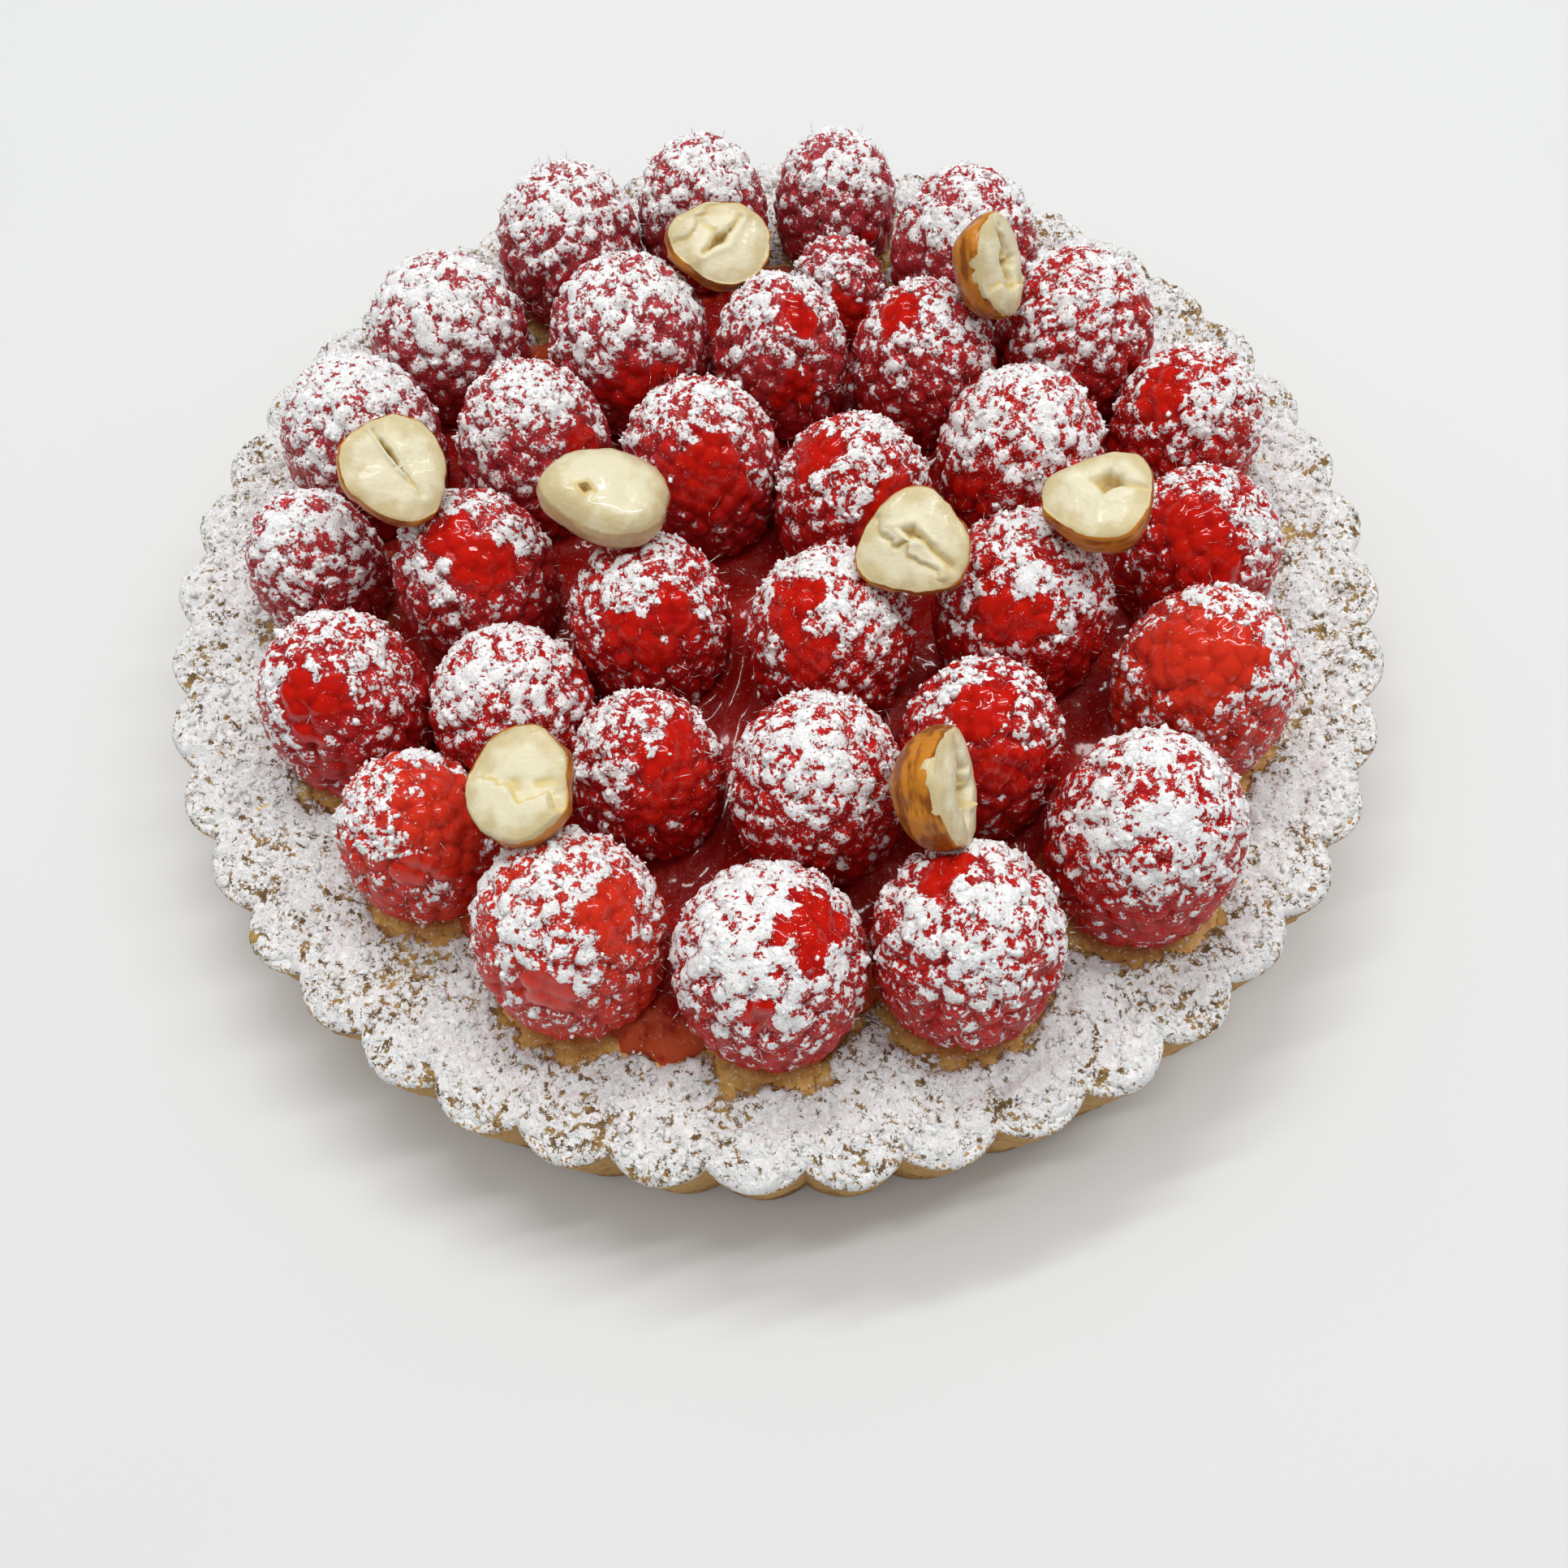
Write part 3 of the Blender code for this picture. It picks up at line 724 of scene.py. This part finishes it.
def jam_outline(bearings):
    """How far the jam reaches at each bearing."""
    radii = JAM_RADIUS + 1.0 * MM * np.sin(5 * bearings + 0.6)
    for centre, width, reach in JAM_TONGUES:
        away = (np.degrees(bearings) - centre + 180) % 360 - 180
        radii += reach * np.exp(-((away / width) ** 2))
    return radii + 1.4 * MM * noise_at(ring(bearings, radii, 0.0), 3 * MM, 5, 3)


def nearest_berry(points, berries):
    """Seen from above: the distance to the nearest berry's outline, negative under one, and how
    far in front of that berry the place is, from -1 to 1."""
    middles = np.array([(b.x, b.y) for b in berries])
    radii = np.array([b.width / 2 for b in berries])
    away = points[:, None, :2] - middles[None]
    distance = np.linalg.norm(away, axis=2)
    gaps = distance - radii
    nearest = gaps.argmin(axis=1)
    rows = np.arange(len(points))
    front = -away[rows, nearest, 1] / np.maximum(distance[rows, nearest], 1e-9)
    return gaps[rows, nearest], front


def build_jam(berries):
    bearings = round_bearings(JAM_STEPS)
    reach = jam_outline(bearings)
    edge_shares = np.linspace(1.0, 0.9, JAM_EDGE_RINGS)
    inner_shares = np.linspace(0.9, 0.02, JAM_RINGS)[1:]
    foot = CREAM_TOP - JAM_FOOT
    rings = [ring(bearings, reach * 0.3, foot), ring(bearings, reach, foot)]
    rings += [ring(bearings, reach * share, CREAM_TOP) for share in (*edge_shares, *inner_shares)]
    points, faces = lathe(np.array(rings))
    top = points[:, 2] > CREAM_TOP - 0.2 * MM
    edge = np.interp(bearing_of(points), bearings, reach, period=math.tau)
    inside = edge - np.hypot(points[:, 0], points[:, 1])
    gap, _ = nearest_berry(points, berries)
    swell = (JAM_TOP - CREAM_TOP) * np.sqrt(np.clip(inside / JAM_EDGE_ROUNDING, 0, 1))
    climb = JAM_CLIMB * np.exp(-np.maximum(gap, 0) / JAM_CLIMB_REACH)
    climb *= rise(inside, 0, 3 * MM)
    waves = JAM_WAVES * noise_at(points, 2.8 * MM, 6) * rise(inside, 0, 2 * MM)
    points[:, 2] += top * (swell + climb + waves)
    thin = fall(inside, 1.0 * MM, 8.0 * MM)
    add_piece("jam_layer", points, faces, jam_surface(), ("jam",), {"thin": thin})


# ---- sugar on the rim


def sheet(top, foot, quads):
    """A closed sheet over a grid of which only some quads are kept. Also says which of its points
    lie at its edges."""
    used, kept = np.unique(quads, return_inverse=True)
    kept = kept.reshape(-1, 4)
    lone = {}
    for corner in range(4):
        for a, b in kept[:, (corner, (corner + 1) % 4)].tolist():
            if (b, a) in lone:
                del lone[(b, a)]
            else:
                lone[(a, b)] = True
    under = len(used)
    faces = kept.tolist() + (kept[:, ::-1] + under).tolist()
    faces += [(a, a + under, b + under, b) for a, b in lone]
    loose = np.unique(np.array(list(lone)))
    points = np.concatenate((top[used], foot[used]))
    return points, faces, used, loose


def rim_grid():
    """Points in rings from under the outer berries to the ragged edge of the sugar, their radii,
    and how far inside that edge they lie."""
    bearings = round_bearings(SUGAR_STEPS)
    edge = flute_outline(bearings, RIM_NOTCH_RADIUS, RIM_LOBE_RADIUS)
    ragged = noise_at(ring(bearings, edge, 0.0), 1.5 * MM, 12, 3)
    edge -= np.clip(0.15 + 1.5 * ragged, 0.0, 1.4) * MM
    shares = np.linspace(0.0, 1.0, SUGAR_RINGS)[:, None]
    radii = SUGAR_INNER_RADIUS + (edge - SUGAR_INNER_RADIUS) * shares
    points = ring(bearings, radii, 0.0).reshape(-1, 3)
    return points, radii.reshape(-1), (edge - radii).reshape(-1)


def rim_cover(points, radii, inside, thick, berries):
    """How well powder covers each point: not beside the berries and over the jam, and less on
    the thin sides."""
    gap, front = nearest_berry(points, berries)
    wander = HALO_WANDER * noise_at(points, 3.0 * MM, 7, 3)
    halo = (HALO_BEHIND + HALO_IN_FRONT * rise(front, 0.0, 0.9) + wander) * MM
    bare = fall(gap - halo, *BARE_FADE)
    thinner = fall(gap - halo, *THINNER_FADE)
    beyond_jam = radii - jam_outline(bearing_of(points))
    bare = np.maximum(bare, fall(beyond_jam, -0.6 * MM, 0.3 * MM))
    wear = fall(inside, 0.3 * MM, 3.0 * MM)
    cover = USUAL_COVER + 0.38 * thick - 0.03 * wear
    bearing = np.degrees(bearing_of(points))
    for side, width, less in THIN_SIDES:
        cover -= less * np.exp(-(((bearing - side) / width) ** 2))
    return cover - (1.2 * bare + 0.18 * thinner)


def rim_depth(points, inside, thick, cover):
    """How thick the powder lies: in clumps and puffs, thinner at its edge."""
    clumps = 0.5 - cells_at(points, 1.45 * MM, 10)
    fluff = np.abs(noise_at(points, 1.6 * MM, 11, 3)) - 0.15
    uneven = np.clip(0.65 + 0.9 * clumps + 2.0 * fluff + 0.4 * thick, 0.1, 1.4)
    depth = SUGAR_THICKNESS * rise(cover, 0.1, 0.6) * uneven
    depth *= 0.6 + 0.4 * rise(inside, 0.0, 2.5 * MM)
    return np.maximum(depth, SUGAR_LEAST)


def build_rim_sugar(berries):
    """A clumpy sheet of powder from the flutes' edge in to the berries."""
    points, radii, inside = rim_grid()
    thick = noise_at(points, 5.5 * MM, 9)
    cover = rim_cover(points, radii, inside, thick, berries)
    ground = CREAM_TOP + (RIM_HEIGHT - CREAM_TOP) * rise(radii, *RIM_STEP)
    ground -= 0.45 * MM * fall(inside, 0.0, 0.7 * MM)
    top, foot = points.copy(), points.copy()
    top[:, 2] = ground + rim_depth(points, inside, thick, cover)
    foot[:, 2] = ground - SUGAR_FOOT
    quads = ring_faces(SUGAR_RINGS, SUGAR_STEPS)
    kept = quads[(cover[quads] > LEAST_COVER).sum(axis=1) >= 3]
    layer, faces, used, loose = sheet(top, foot, kept)
    layer[loose, 2] = foot[used][loose, 2] + SUGAR_FOOT + SUGAR_EDGE_RISE
    material = rim_sugar_surface()
    add_piece("rim_sugar", layer, faces, material,
              values={"cover": np.tile(cover[used], 2)})
    build_rim_lumps(top, radii, inside, cover, material)


def build_rim_lumps(top, radii, inside, cover, material):
    """Loose lumps that lie on the rim's powder, more of them where it is thick."""
    draw = np.random.default_rng(21)
    good = np.flatnonzero((cover > 0.35) & (inside > 0.6 * MM))
    weight = np.clip(cover[good] - 0.2, 0.1, 0.9) * radii[good]
    chosen = draw.choice(good, RIM_LUMPS, replace=False, p=weight / weight.sum())
    sizes = (0.18 + 0.37 * draw.random(RIM_LUMPS) ** 2.0) * MM
    points, faces = lumps(top[chosen] - (0, 0, 0.1 * MM), sizes, 22)
    add_piece("rim_sugar_lumps", points, faces, material,
              values={"cover": np.full(len(points), LUMP_COVER)})


# ---- berries


class Berry:
    """Place and size of one berry, read from its CAD node."""

    def __init__(self, number):
        self.number = number
        self.node = f"berry_{number:02d}"
        low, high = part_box(self.node)
        self.x, self.y = (low.x + high.x) / 2, (low.y + high.y) / 2
        self.width = max(high.x - low.x, high.y - low.y) + BERRY_SWELL
        self.base = low.z - BERRY_SINK
        self.height = high.z - BERRY_SUGAR_RELIEF - self.base
        self.middle = Vector((self.x, self.y, self.base + self.height * 0.5))
        self.sugar, *self.patches = BERRY_LOOKS[number]


def sphere_triangles(count):
    """Triangles of evenly spread points on a ball, numbered from top to bottom."""
    bm = bmesh.new()
    for n in range(count):
        z = 1 - 2 * (n + 0.5) / count
        r = math.sqrt(1 - z * z)
        bm.verts.new((r * math.cos(n * GOLDEN_ANGLE), r * math.sin(n * GOLDEN_ANGLE), z))
    bmesh.ops.convex_hull(bm, input=bm.verts)
    bmesh.ops.triangulate(bm, faces=bm.faces)
    bm.verts.index_update()
    faces = np.array([[v.index for v in f.verts] for f in bm.faces])
    bm.free()
    return faces


class Profile:
    """The outline that a berry is turned from, as samples from its tip to its base's middle."""

    def __init__(self, width, height):
        levels = np.linspace(1.0, 0.0, 160)
        above = np.clip((levels - WIDEST_LEVEL) / (1 - WIDEST_LEVEL), 0, 1)
        below = np.clip((WIDEST_LEVEL - levels) / WIDEST_LEVEL, 0, 1)
        radii = width / 2 * np.sqrt(1 - above**DOME_POWER) * (1 - BASE_NARROWING * below**1.8)
        foot = np.clip(1 - levels * height / BASE_ROUNDING, 0, 1)
        radii -= 0.8 * BASE_ROUNDING * (1 - np.sqrt(1 - foot**2))
        self.radii = np.concatenate((radii, np.linspace(radii[-1], 0, 12)[1:]))
        self.heights = np.concatenate((levels * height, np.zeros(11)))
        along, down = np.gradient(self.radii), np.gradient(self.heights)
        length = np.maximum(np.hypot(along, down), 1e-9)
        self.outward, self.upward = -down / length, along / length
        steps = np.hypot(np.diff(self.radii), np.diff(self.heights))
        steps *= (self.radii[1:] + self.radii[:-1]) / 2
        side = len(levels) - 1
        self.side_area = steps[:side].sum() * math.tau
        steps[side:] *= 0.3
        area = np.concatenate(([0.0], np.cumsum(steps)))
        self.shares = area / area[-1]
        self.side_share = self.shares[side]

    def at(self, share, bearing):
        """Points and outward directions at shares of the area, counted from the tip."""
        radius = np.interp(share, self.shares, self.radii)
        height = np.interp(share, self.shares, self.heights)
        outward = np.interp(share, self.shares, self.outward)
        upward = np.interp(share, self.shares, self.upward)
        points = np.stack((radius * np.cos(bearing), radius * np.sin(bearing), height), -1)
        facing = np.stack((outward * np.cos(bearing), outward * np.sin(bearing), upward), -1)
        return points, unit(facing)


def patch_cover(berry, points):
    """1 in the berry's bare wet patches, 0 away from them."""
    toward = (CAMERA_PLACE - berry.middle).normalized()
    right = CAMERA_TURN.to_3x3() @ Vector((1, 0, 0))
    right = (right - toward * right.dot(toward)).normalized()
    up = toward.cross(right)
    direction = unit(points - np.array(berry.middle))
    wander = 0.75 * noise_at(points, 3.5 * MM, 31, 3) + 0.25 * noise_at(points, 1.1 * MM, 36, 2)
    cover = np.zeros(len(points))
    for across, above, size in berry.patches:
        depth = math.sqrt(max(0.0, 1 - across**2 - above**2))
        centre = np.array((right * across + up * above + toward * depth).normalized())
        angle = np.arccos(np.clip(direction @ centre, -1, 1)) / math.asin(min(size, 1.0))
        cover = np.maximum(cover, fall(angle + wander, 0.80, 1.10))
    return cover


class Drupelets:
    """The beads of one berry, as numbers at each of its points: bulge, groove, crown, sag below
    the bead's middle, and a number of the bead's own."""

    def __init__(self, points, profile, turn, draw):
        count = int(profile.side_area / (DRUPELET_PACKING * DRUPELET_SPACING**2))
        rows = np.arange(count)
        jitter = uniform_draws(draw, -0.12, 0.12, count)
        centres, _ = profile.at((rows + 0.5) / count * profile.side_share,
                                turn + rows * GOLDEN_ANGLE + jitter)
        away = np.linalg.norm(points[:, None, :] - centres[None], axis=2)
        away *= uniform_draws(draw, 0.88, 1.12, count)
        nearest = away.argmin(axis=1)
        near, next_near = np.partition(away, 1, axis=1)[:, :2].T
        reach = DRUPELET_ROUNDNESS * DRUPELET_SPACING
        self.bulge = np.sqrt(np.clip(1 - (near / reach) ** 2, 0, 1)) - 1
        self.groove = fall(next_near - near, 0.0, DRUPELET_GROOVE)
        self.crown = fall(near / DRUPELET_SPACING, 0.15, 0.55)
        below = (centres[nearest, 2] - points[:, 2]) / DRUPELET_SPACING
        self.sag = np.clip(below, -0.5, 0.5)
        self.own = uniform_draws(draw, -1, 1, count)[nearest]


def berry_sugar(berry, world, upward, beads, clumps, wet):
    """How much sugar lies at each point: on crowns that face up, in clumps, none where wet."""
    fallen = rise(upward, -0.12, 0.75)
    drift = noise_at(world, 3.6 * MM, 33)
    fine = noise_at(world, 1.0 * MM, 34)
    return (berry.sugar * 0.73 * fallen + 0.24 * clumps + 0.42 * drift + 0.20 * fine
            + 0.10 * beads.own + 0.22 * (beads.crown - 0.4) - 0.10 * beads.groove - 1.6 * wet)


def berry_shape(berry, triangles, draw):
    """Points, outward directions and the numbers that the berry's material reads."""
    profile = Profile(berry.width, berry.height)
    turn = draw.uniform(0, math.tau)
    numbers = np.arange(BERRY_POINTS)
    points, facing = profile.at((numbers + 0.5) / BERRY_POINTS, turn + numbers * GOLDEN_ANGLE)
    beads = Drupelets(points, profile, turn, draw)
    lower = fall(points[:, 2] / berry.height, 0.25, 0.75)
    world = points + np.array((berry.x, berry.y, berry.base))
    wet = patch_cover(berry, world)
    on_side = rise(points[:, 2], 0.2 * MM, 1.0 * MM)
    ripple = RIPPLE_RELIEF * noise_at(world, 1.6 * MM, 35)
    relief = (DRUPELET_RELIEF * beads.bulge * (1 - 0.3 * wet)
              + SHINGLE_RELIEF * beads.sag * lower + ripple)
    world = world + facing * (relief * on_side)[:, None]

    normals = point_normals(world, triangles)
    normals *= np.sign((normals * facing).sum())
    clumps = 0.45 - cells_at(world, 1.2 * MM, 32)
    upward = 0.7 * normals[:, 2] + 0.3 * facing[:, 2]
    sugar = berry_sugar(berry, world, upward, beads, clumps, wet)
    powder = BERRY_SUGAR_RELIEF * rise(sugar, 0.30, 0.75) * (0.7 + 0.9 * clumps)
    world = world + normals * (powder * on_side)[:, None]
    settled = rise(facing[:, 2], -0.5, 0.4)
    # Painted light from behind: a pale haze that grows towards the back and left, more on upper
    # sides.
    backlight_haze = rise(berry.y - 0.5 * berry.x, *BACKLIGHT_HAZE_FADE) * (0.4 + 0.35 * settled)
    values = {
        "sugar": sugar,
        "wet": wet,
        "groove": beads.groove * (1 - 0.4 * wet),
        "dust": np.clip(0.18 + 0.34 * berry.sugar * settled - 0.14 * wet, 0, 1),
        "pale": lower * rise(beads.sag, 0.16, 0.40) * (1 - wet),
        "orange": np.full(len(points), 0.75 if berry.number in ORANGE_BERRIES else 0.0),
        "backlight_haze": backlight_haze,
    }
    return world, normals, values


def scatter_lumps(berry, points, values, picks):
    """Places and sizes of loose lumps of powder, most of them where the berry is well dusted."""
    weight = np.clip(values["sugar"] - 0.45, 0, 0.3) + 0.008 * values["dust"]
    weight[points[:, 2] < berry.base + LUMP_FREE_HEIGHT] = 0
    chosen = picks.choice(len(points), LUMPS_PER_BERRY, replace=False, p=weight / weight.sum())
    return points[chosen], (0.14 + 0.32 * picks.random(LUMPS_PER_BERRY) ** 2.0) * MM


def any_way(draw):
    return Vector([draw.gauss(0, 1) for _ in range(3)])


def hair_points(root, direction, length, bend):
    """A thin bent filament that ends in a point."""
    side = direction.orthogonal().normalized()
    across = direction.cross(side)
    points = []
    for step in range(HAIR_RINGS):
        share = step / (HAIR_RINGS - 0.4)
        middle = root + direction * (length * share) + bend * (length * share * share)
        radius = HAIR_THICKNESS * (1 - 0.6 * share)
        for corner in range(HAIR_SIDES):
            angle = math.tau * corner / HAIR_SIDES
            offset = side * math.cos(angle) + across * math.sin(angle)
            points.append(middle + offset * radius)
    points.append(root + direction * length + bend * length)
    return points


def hair_faces(first):
    """Faces of the hair whose points start at this number."""
    faces = [(first, first + 2, first + 1)]
    tip = first + HAIR_RINGS * HAIR_SIDES
    for low in range(first, tip, HAIR_SIDES):
        for corner in range(HAIR_SIDES):
            a, b = low + corner, low + (corner + 1) % HAIR_SIDES
            last = low + HAIR_SIDES == tip
            faces.append((a, b, tip) if last else (a, b, b + HAIR_SIDES, a + HAIR_SIDES))
    return faces


def berry_hairs(berry, points, normals, draw, picks):
    """The points of each hair on the sides and the top of a berry."""
    high = points[:, 2] > berry.base + HAIR_FREE_HEIGHT
    wall = np.flatnonzero((normals[:, 2] > -0.4) & high)
    hairs = []
    for index in picks.choice(wall, HAIRS_PER_BERRY, replace=False).tolist():
        direction = (Vector(normals[index]) + any_way(draw) * 0.45).normalized()
        bend = any_way(draw) * 0.35
        root = Vector(points[index]) - direction * 0.1 * MM
        hairs.append(hair_points(root, direction, draw.uniform(0.8, 1.9) * MM, bend))
    return hairs


def build_berries(berries):
    material = berry_surface()
    triangles = sphere_triangles(BERRY_POINTS)
    faces = triangles.tolist()
    draw = random.Random(7)
    picks = np.random.default_rng(8)
    centres, sizes, hairs = [], [], []
    for berry in berries:
        points, normals, values = berry_shape(berry, triangles, draw)
        add_piece(f"raspberry_{berry.number:02d}", points, faces, material,
                  (berry.node,), values)
        places, radii = scatter_lumps(berry, points, values, picks)
        centres.append(places)
        sizes.append(radii)
        hairs += berry_hairs(berry, points, normals, draw, picks)
    points, faces = lumps(np.concatenate(centres), np.concatenate(sizes), 23)
    add_piece("berry_sugar_lumps", points, faces, sugar_surface())
    hairs = np.array(hairs)
    faces = [face for n in range(len(hairs)) for face in hair_faces(n * hairs.shape[1])]
    add_piece("berry_hairs", hairs.reshape(-1, 3), faces, hair_surface())


# ---- hazelnuts


def turned(x, y, degrees):
    """How far along and across a line at this angle."""
    angle = math.radians(degrees)
    return x * math.cos(angle) + y * math.sin(angle), y * math.cos(angle) - x * math.sin(angle)


def flat_noise(x, y, size, seed, octaves=2):
    return noise_at(np.stack((x, y, 0 * x), -1), size, seed, octaves)


def nut_face(x, y, share, nut, seed):
    """Height of the cut face over its plane in millimetres, and how hollow it is, with painted
    shade added along cracks and at the foot of each flake.
    """
    height = 0.35 * (1 - share**2) + 0.3 * flat_noise(x, y, 4.5, seed)
    hollow_and_shade = np.zeros_like(x)
    wave = 0.25 * flat_noise(x, y, 1.4, seed + 20)
    for along, across, half_length, half_width, angle, depth in nut["cavities"]:
        a, b = turned(x - along, y - across, angle)
        reach = np.abs(a) / half_length + np.abs(b) / half_width
        dip = fall(reach + wave, 0.25, 1.1)
        lip = np.exp(-(((reach + wave - 1.7) / 0.7) ** 2))
        height = height - depth * dip + 0.3 * min(depth, 1.0) * lip
        hollow_and_shade = np.maximum(hollow_and_shade, dip)
    for along, across, angle, length, width, depth in nut["cracks"]:
        a, b = turned(x - along, y - across, angle)
        line = np.exp(-(((b + 0.5 * wave) / width) ** 2))
        line *= rise(a, -0.4, 0.3) * fall(a, length - 0.8, length)
        height = height - depth * line
        # Painted shade: a crack is darkened along its line.
        hollow_and_shade = np.maximum(hollow_and_shade, 0.5 * line)
    for angle, offset, lift in nut["flakes"]:
        a, b = turned(x, y, angle)
        over = b - offset + 1.6 * flat_noise(a, 0 * a, 2.4, seed + 1, 3)
        height = height + lift * (rise(over, -0.12, 0.12) - 0.3)
        # Painted shade: the foot of the flake's step is darkened.
        hollow_and_shade = np.maximum(hollow_and_shade, 0.7 * np.exp(-(((over + 0.25) / 0.2) ** 2)))
    bevel = nut["bevel"] * share**5
    return height * fall(share, 0.94, 1.0) - bevel, hollow_and_shade


def nut_edge(number, nut):
    """The outline of the cut face, and at each place of it how much skin the dome below lost and
    how ragged the skin ends."""
    bearings = math.tau * np.arange(NUT_STEPS) / NUT_STEPS
    circle = ring(bearings, 1.0, 0.0)
    amount, toward = nut["corners"]
    uneven = 1 + amount * np.cos(3 * (bearings - math.radians(toward)))
    uneven += 0.06 * noise_at(circle, 0.55, 70 + number, 3) - 0.01
    length, width, _ = nut["size"]
    rim_x = length / 2 * np.cos(bearings) * uneven
    rim_y = width / 2 * np.sin(bearings) * (1 + 0.12 * np.cos(bearings)) * uneven
    bearing, reach = nut["peel"]
    away = np.abs((bearings - math.radians(bearing) + math.pi) % math.tau - math.pi)
    peeled = fall(away - reach, -0.3, 0.0) if reach else np.zeros_like(away)
    return rim_x, rim_y, peeled, 0.4 * noise_at(circle, 0.3, 80 + number, 3)


def nut_form(number, nut):
    """Half a nut in its own axes in millimetres, and the numbers that its material reads."""
    rim_x, rim_y, peeled, ragged = nut_edge(number, nut)
    rings, skins, shaded_hollows, edges = [], [], [], []
    for share in np.linspace(0.03, 1.0, NUT_FACE_RINGS) ** 0.9:
        x, y, level = rim_x * share, rim_y * share, np.full_like(rim_x, share)
        height, hollow_and_shade = nut_face(x, y, level, nut, 40 + number)
        rings.append(np.stack((x, y, height), -1))
        skins.append(rise(level, 0.95, 1.01) - 2.0 * peeled)
        shaded_hollows.append(hollow_and_shade)
        edges.append(rise(level, 0.35, 1.0))
    bevel = nut["bevel"]
    for angle in np.linspace(0, math.pi / 2, NUT_DOME_RINGS + 1)[1:-1]:
        swell = math.cos(angle) ** 0.9 * (1 + 0.10 * math.sin(2 * angle))
        height = np.full_like(rim_x, -bevel - (nut["size"][2] - bevel) * math.sin(angle))
        rings.append(np.stack((rim_x * swell, rim_y * swell, height), -1))
        skins.append(1.0 - 1.3 * peeled * fall(angle + 0.6 * ragged, 0.05, 0.14))
        shaded_hollows.append(np.zeros_like(rim_x))
        edges.append(np.ones_like(rim_x))
    points, faces = lathe(np.array(rings))
    dome = points[:, 2] < -0.3 - bevel
    dents = 0.35 * noise_at(points, 4.0, 50 + number, 3)
    points += unit(points) * (dome * dents)[:, None]
    outward = unit(points * (1, 1, 0))
    values = {
        "skin": np.concatenate((*skins, [0.0, 1.0])),
        "hollow_and_shade": np.concatenate((*shaded_hollows, [shaded_hollows[0][0], 0.0])),
        "edge": np.concatenate((*edges, [0.0, 1.0])),
        "grain_a": 0.9 * outward[:, 0],
        "grain_b": 0.9 * outward[:, 1],
        "grain_c": 0.75 * points[:, 2] + 9.0 * number,
    }
    return points, faces, values


def build_nut(number, nut, material):
    """Half a nut, tilted and set where its CAD node lies."""
    points, faces, values = nut_form(number, nut)
    points *= MM
    tilt, bearing, turn = (math.radians(angle) for angle in nut["lie"])
    lean = Matrix.Rotation(tilt, 3, (-math.sin(bearing), math.cos(bearing), 0.0))
    points = points @ np.array(lean @ Matrix.Rotation(turn, 3, "Z")).T
    node = f"hazelnut_{number}"
    low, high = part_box(node)
    middle = (np.array(low) + np.array(high)) / 2
    points += middle - (points.min(axis=0) + points.max(axis=0)) / 2
    points[:, 2] += min(0.0, high.z - points[:, 2].max())
    add_piece(f"hazelnut_half_{number}", points, faces, material, (node,), values)


def build_nuts():
    plain = nut_surface("hazelnut", False)
    blanched = nut_surface("blanched_hazelnut", True)
    for number, marks in enumerate(HAZELNUTS, start=1):
        build_nut(number, {**PLAIN_NUT, **marks}, blanched if number == BLANCHED_NUT else plain)


# ---- stage


def build_floor():
    low, high = -FLOOR_REACH, FLOOR_REACH
    mesh = bpy.data.meshes.new("floor")
    mesh.from_pydata([(low, low, 0), (high, low, 0), (high, high, 0), (low, high, 0)], [],
                     [(0, 1, 2, 3)])
    mesh.materials.append(floor_surface())
    add_object("floor", mesh)


def build_sky():
    """Even white light from all sides, which gloss doesn't show."""
    world = bpy.data.worlds.new("studio")
    world.use_nodes = True
    background = world.node_tree.nodes["Background"]
    background.inputs["Color"].default_value = (1.0, 1.0, 1.0, 1.0)
    background.inputs["Strength"].default_value = SKY_STRENGTH
    world.cycles_visibility.glossy = False
    bpy.context.scene.world = world


def build_lamps():
    """Rectangular lamps that look at the tart."""
    for name, place, size, power, in_gloss in LAMPS:
        data = bpy.data.lights.new(name, "AREA")
        data.shape = "RECTANGLE"
        data.size, data.size_y = size
        data.energy = power
        lamp = add_object(name, data)
        lamp.location = place
        lamp.rotation_euler = (-Vector(place)).to_track_quat("-Z", "Y").to_euler()
        lamp.visible_glossy = in_gloss


def add_camera():
    data = bpy.data.cameras.new("camera")
    data.angle = FIELD_OF_VIEW
    data.clip_start = CAMERA_NEAR
    camera = add_object("camera", data)
    camera.matrix_world = Matrix.Translation(CAMERA_PLACE) @ CAMERA_TURN
    bpy.context.scene.camera = camera


def main():
    berries = [Berry(number) for number in range(1, BERRIES + 1)]
    add_camera()
    build_floor()
    build_sky()
    build_lamps()
    build_shell()
    build_cream(berries)
    build_jam(berries)
    build_rim_sugar(berries)
    build_berries(berries)
    build_nuts()
    bpy.context.scene.view_settings.view_transform = "Standard"


main()
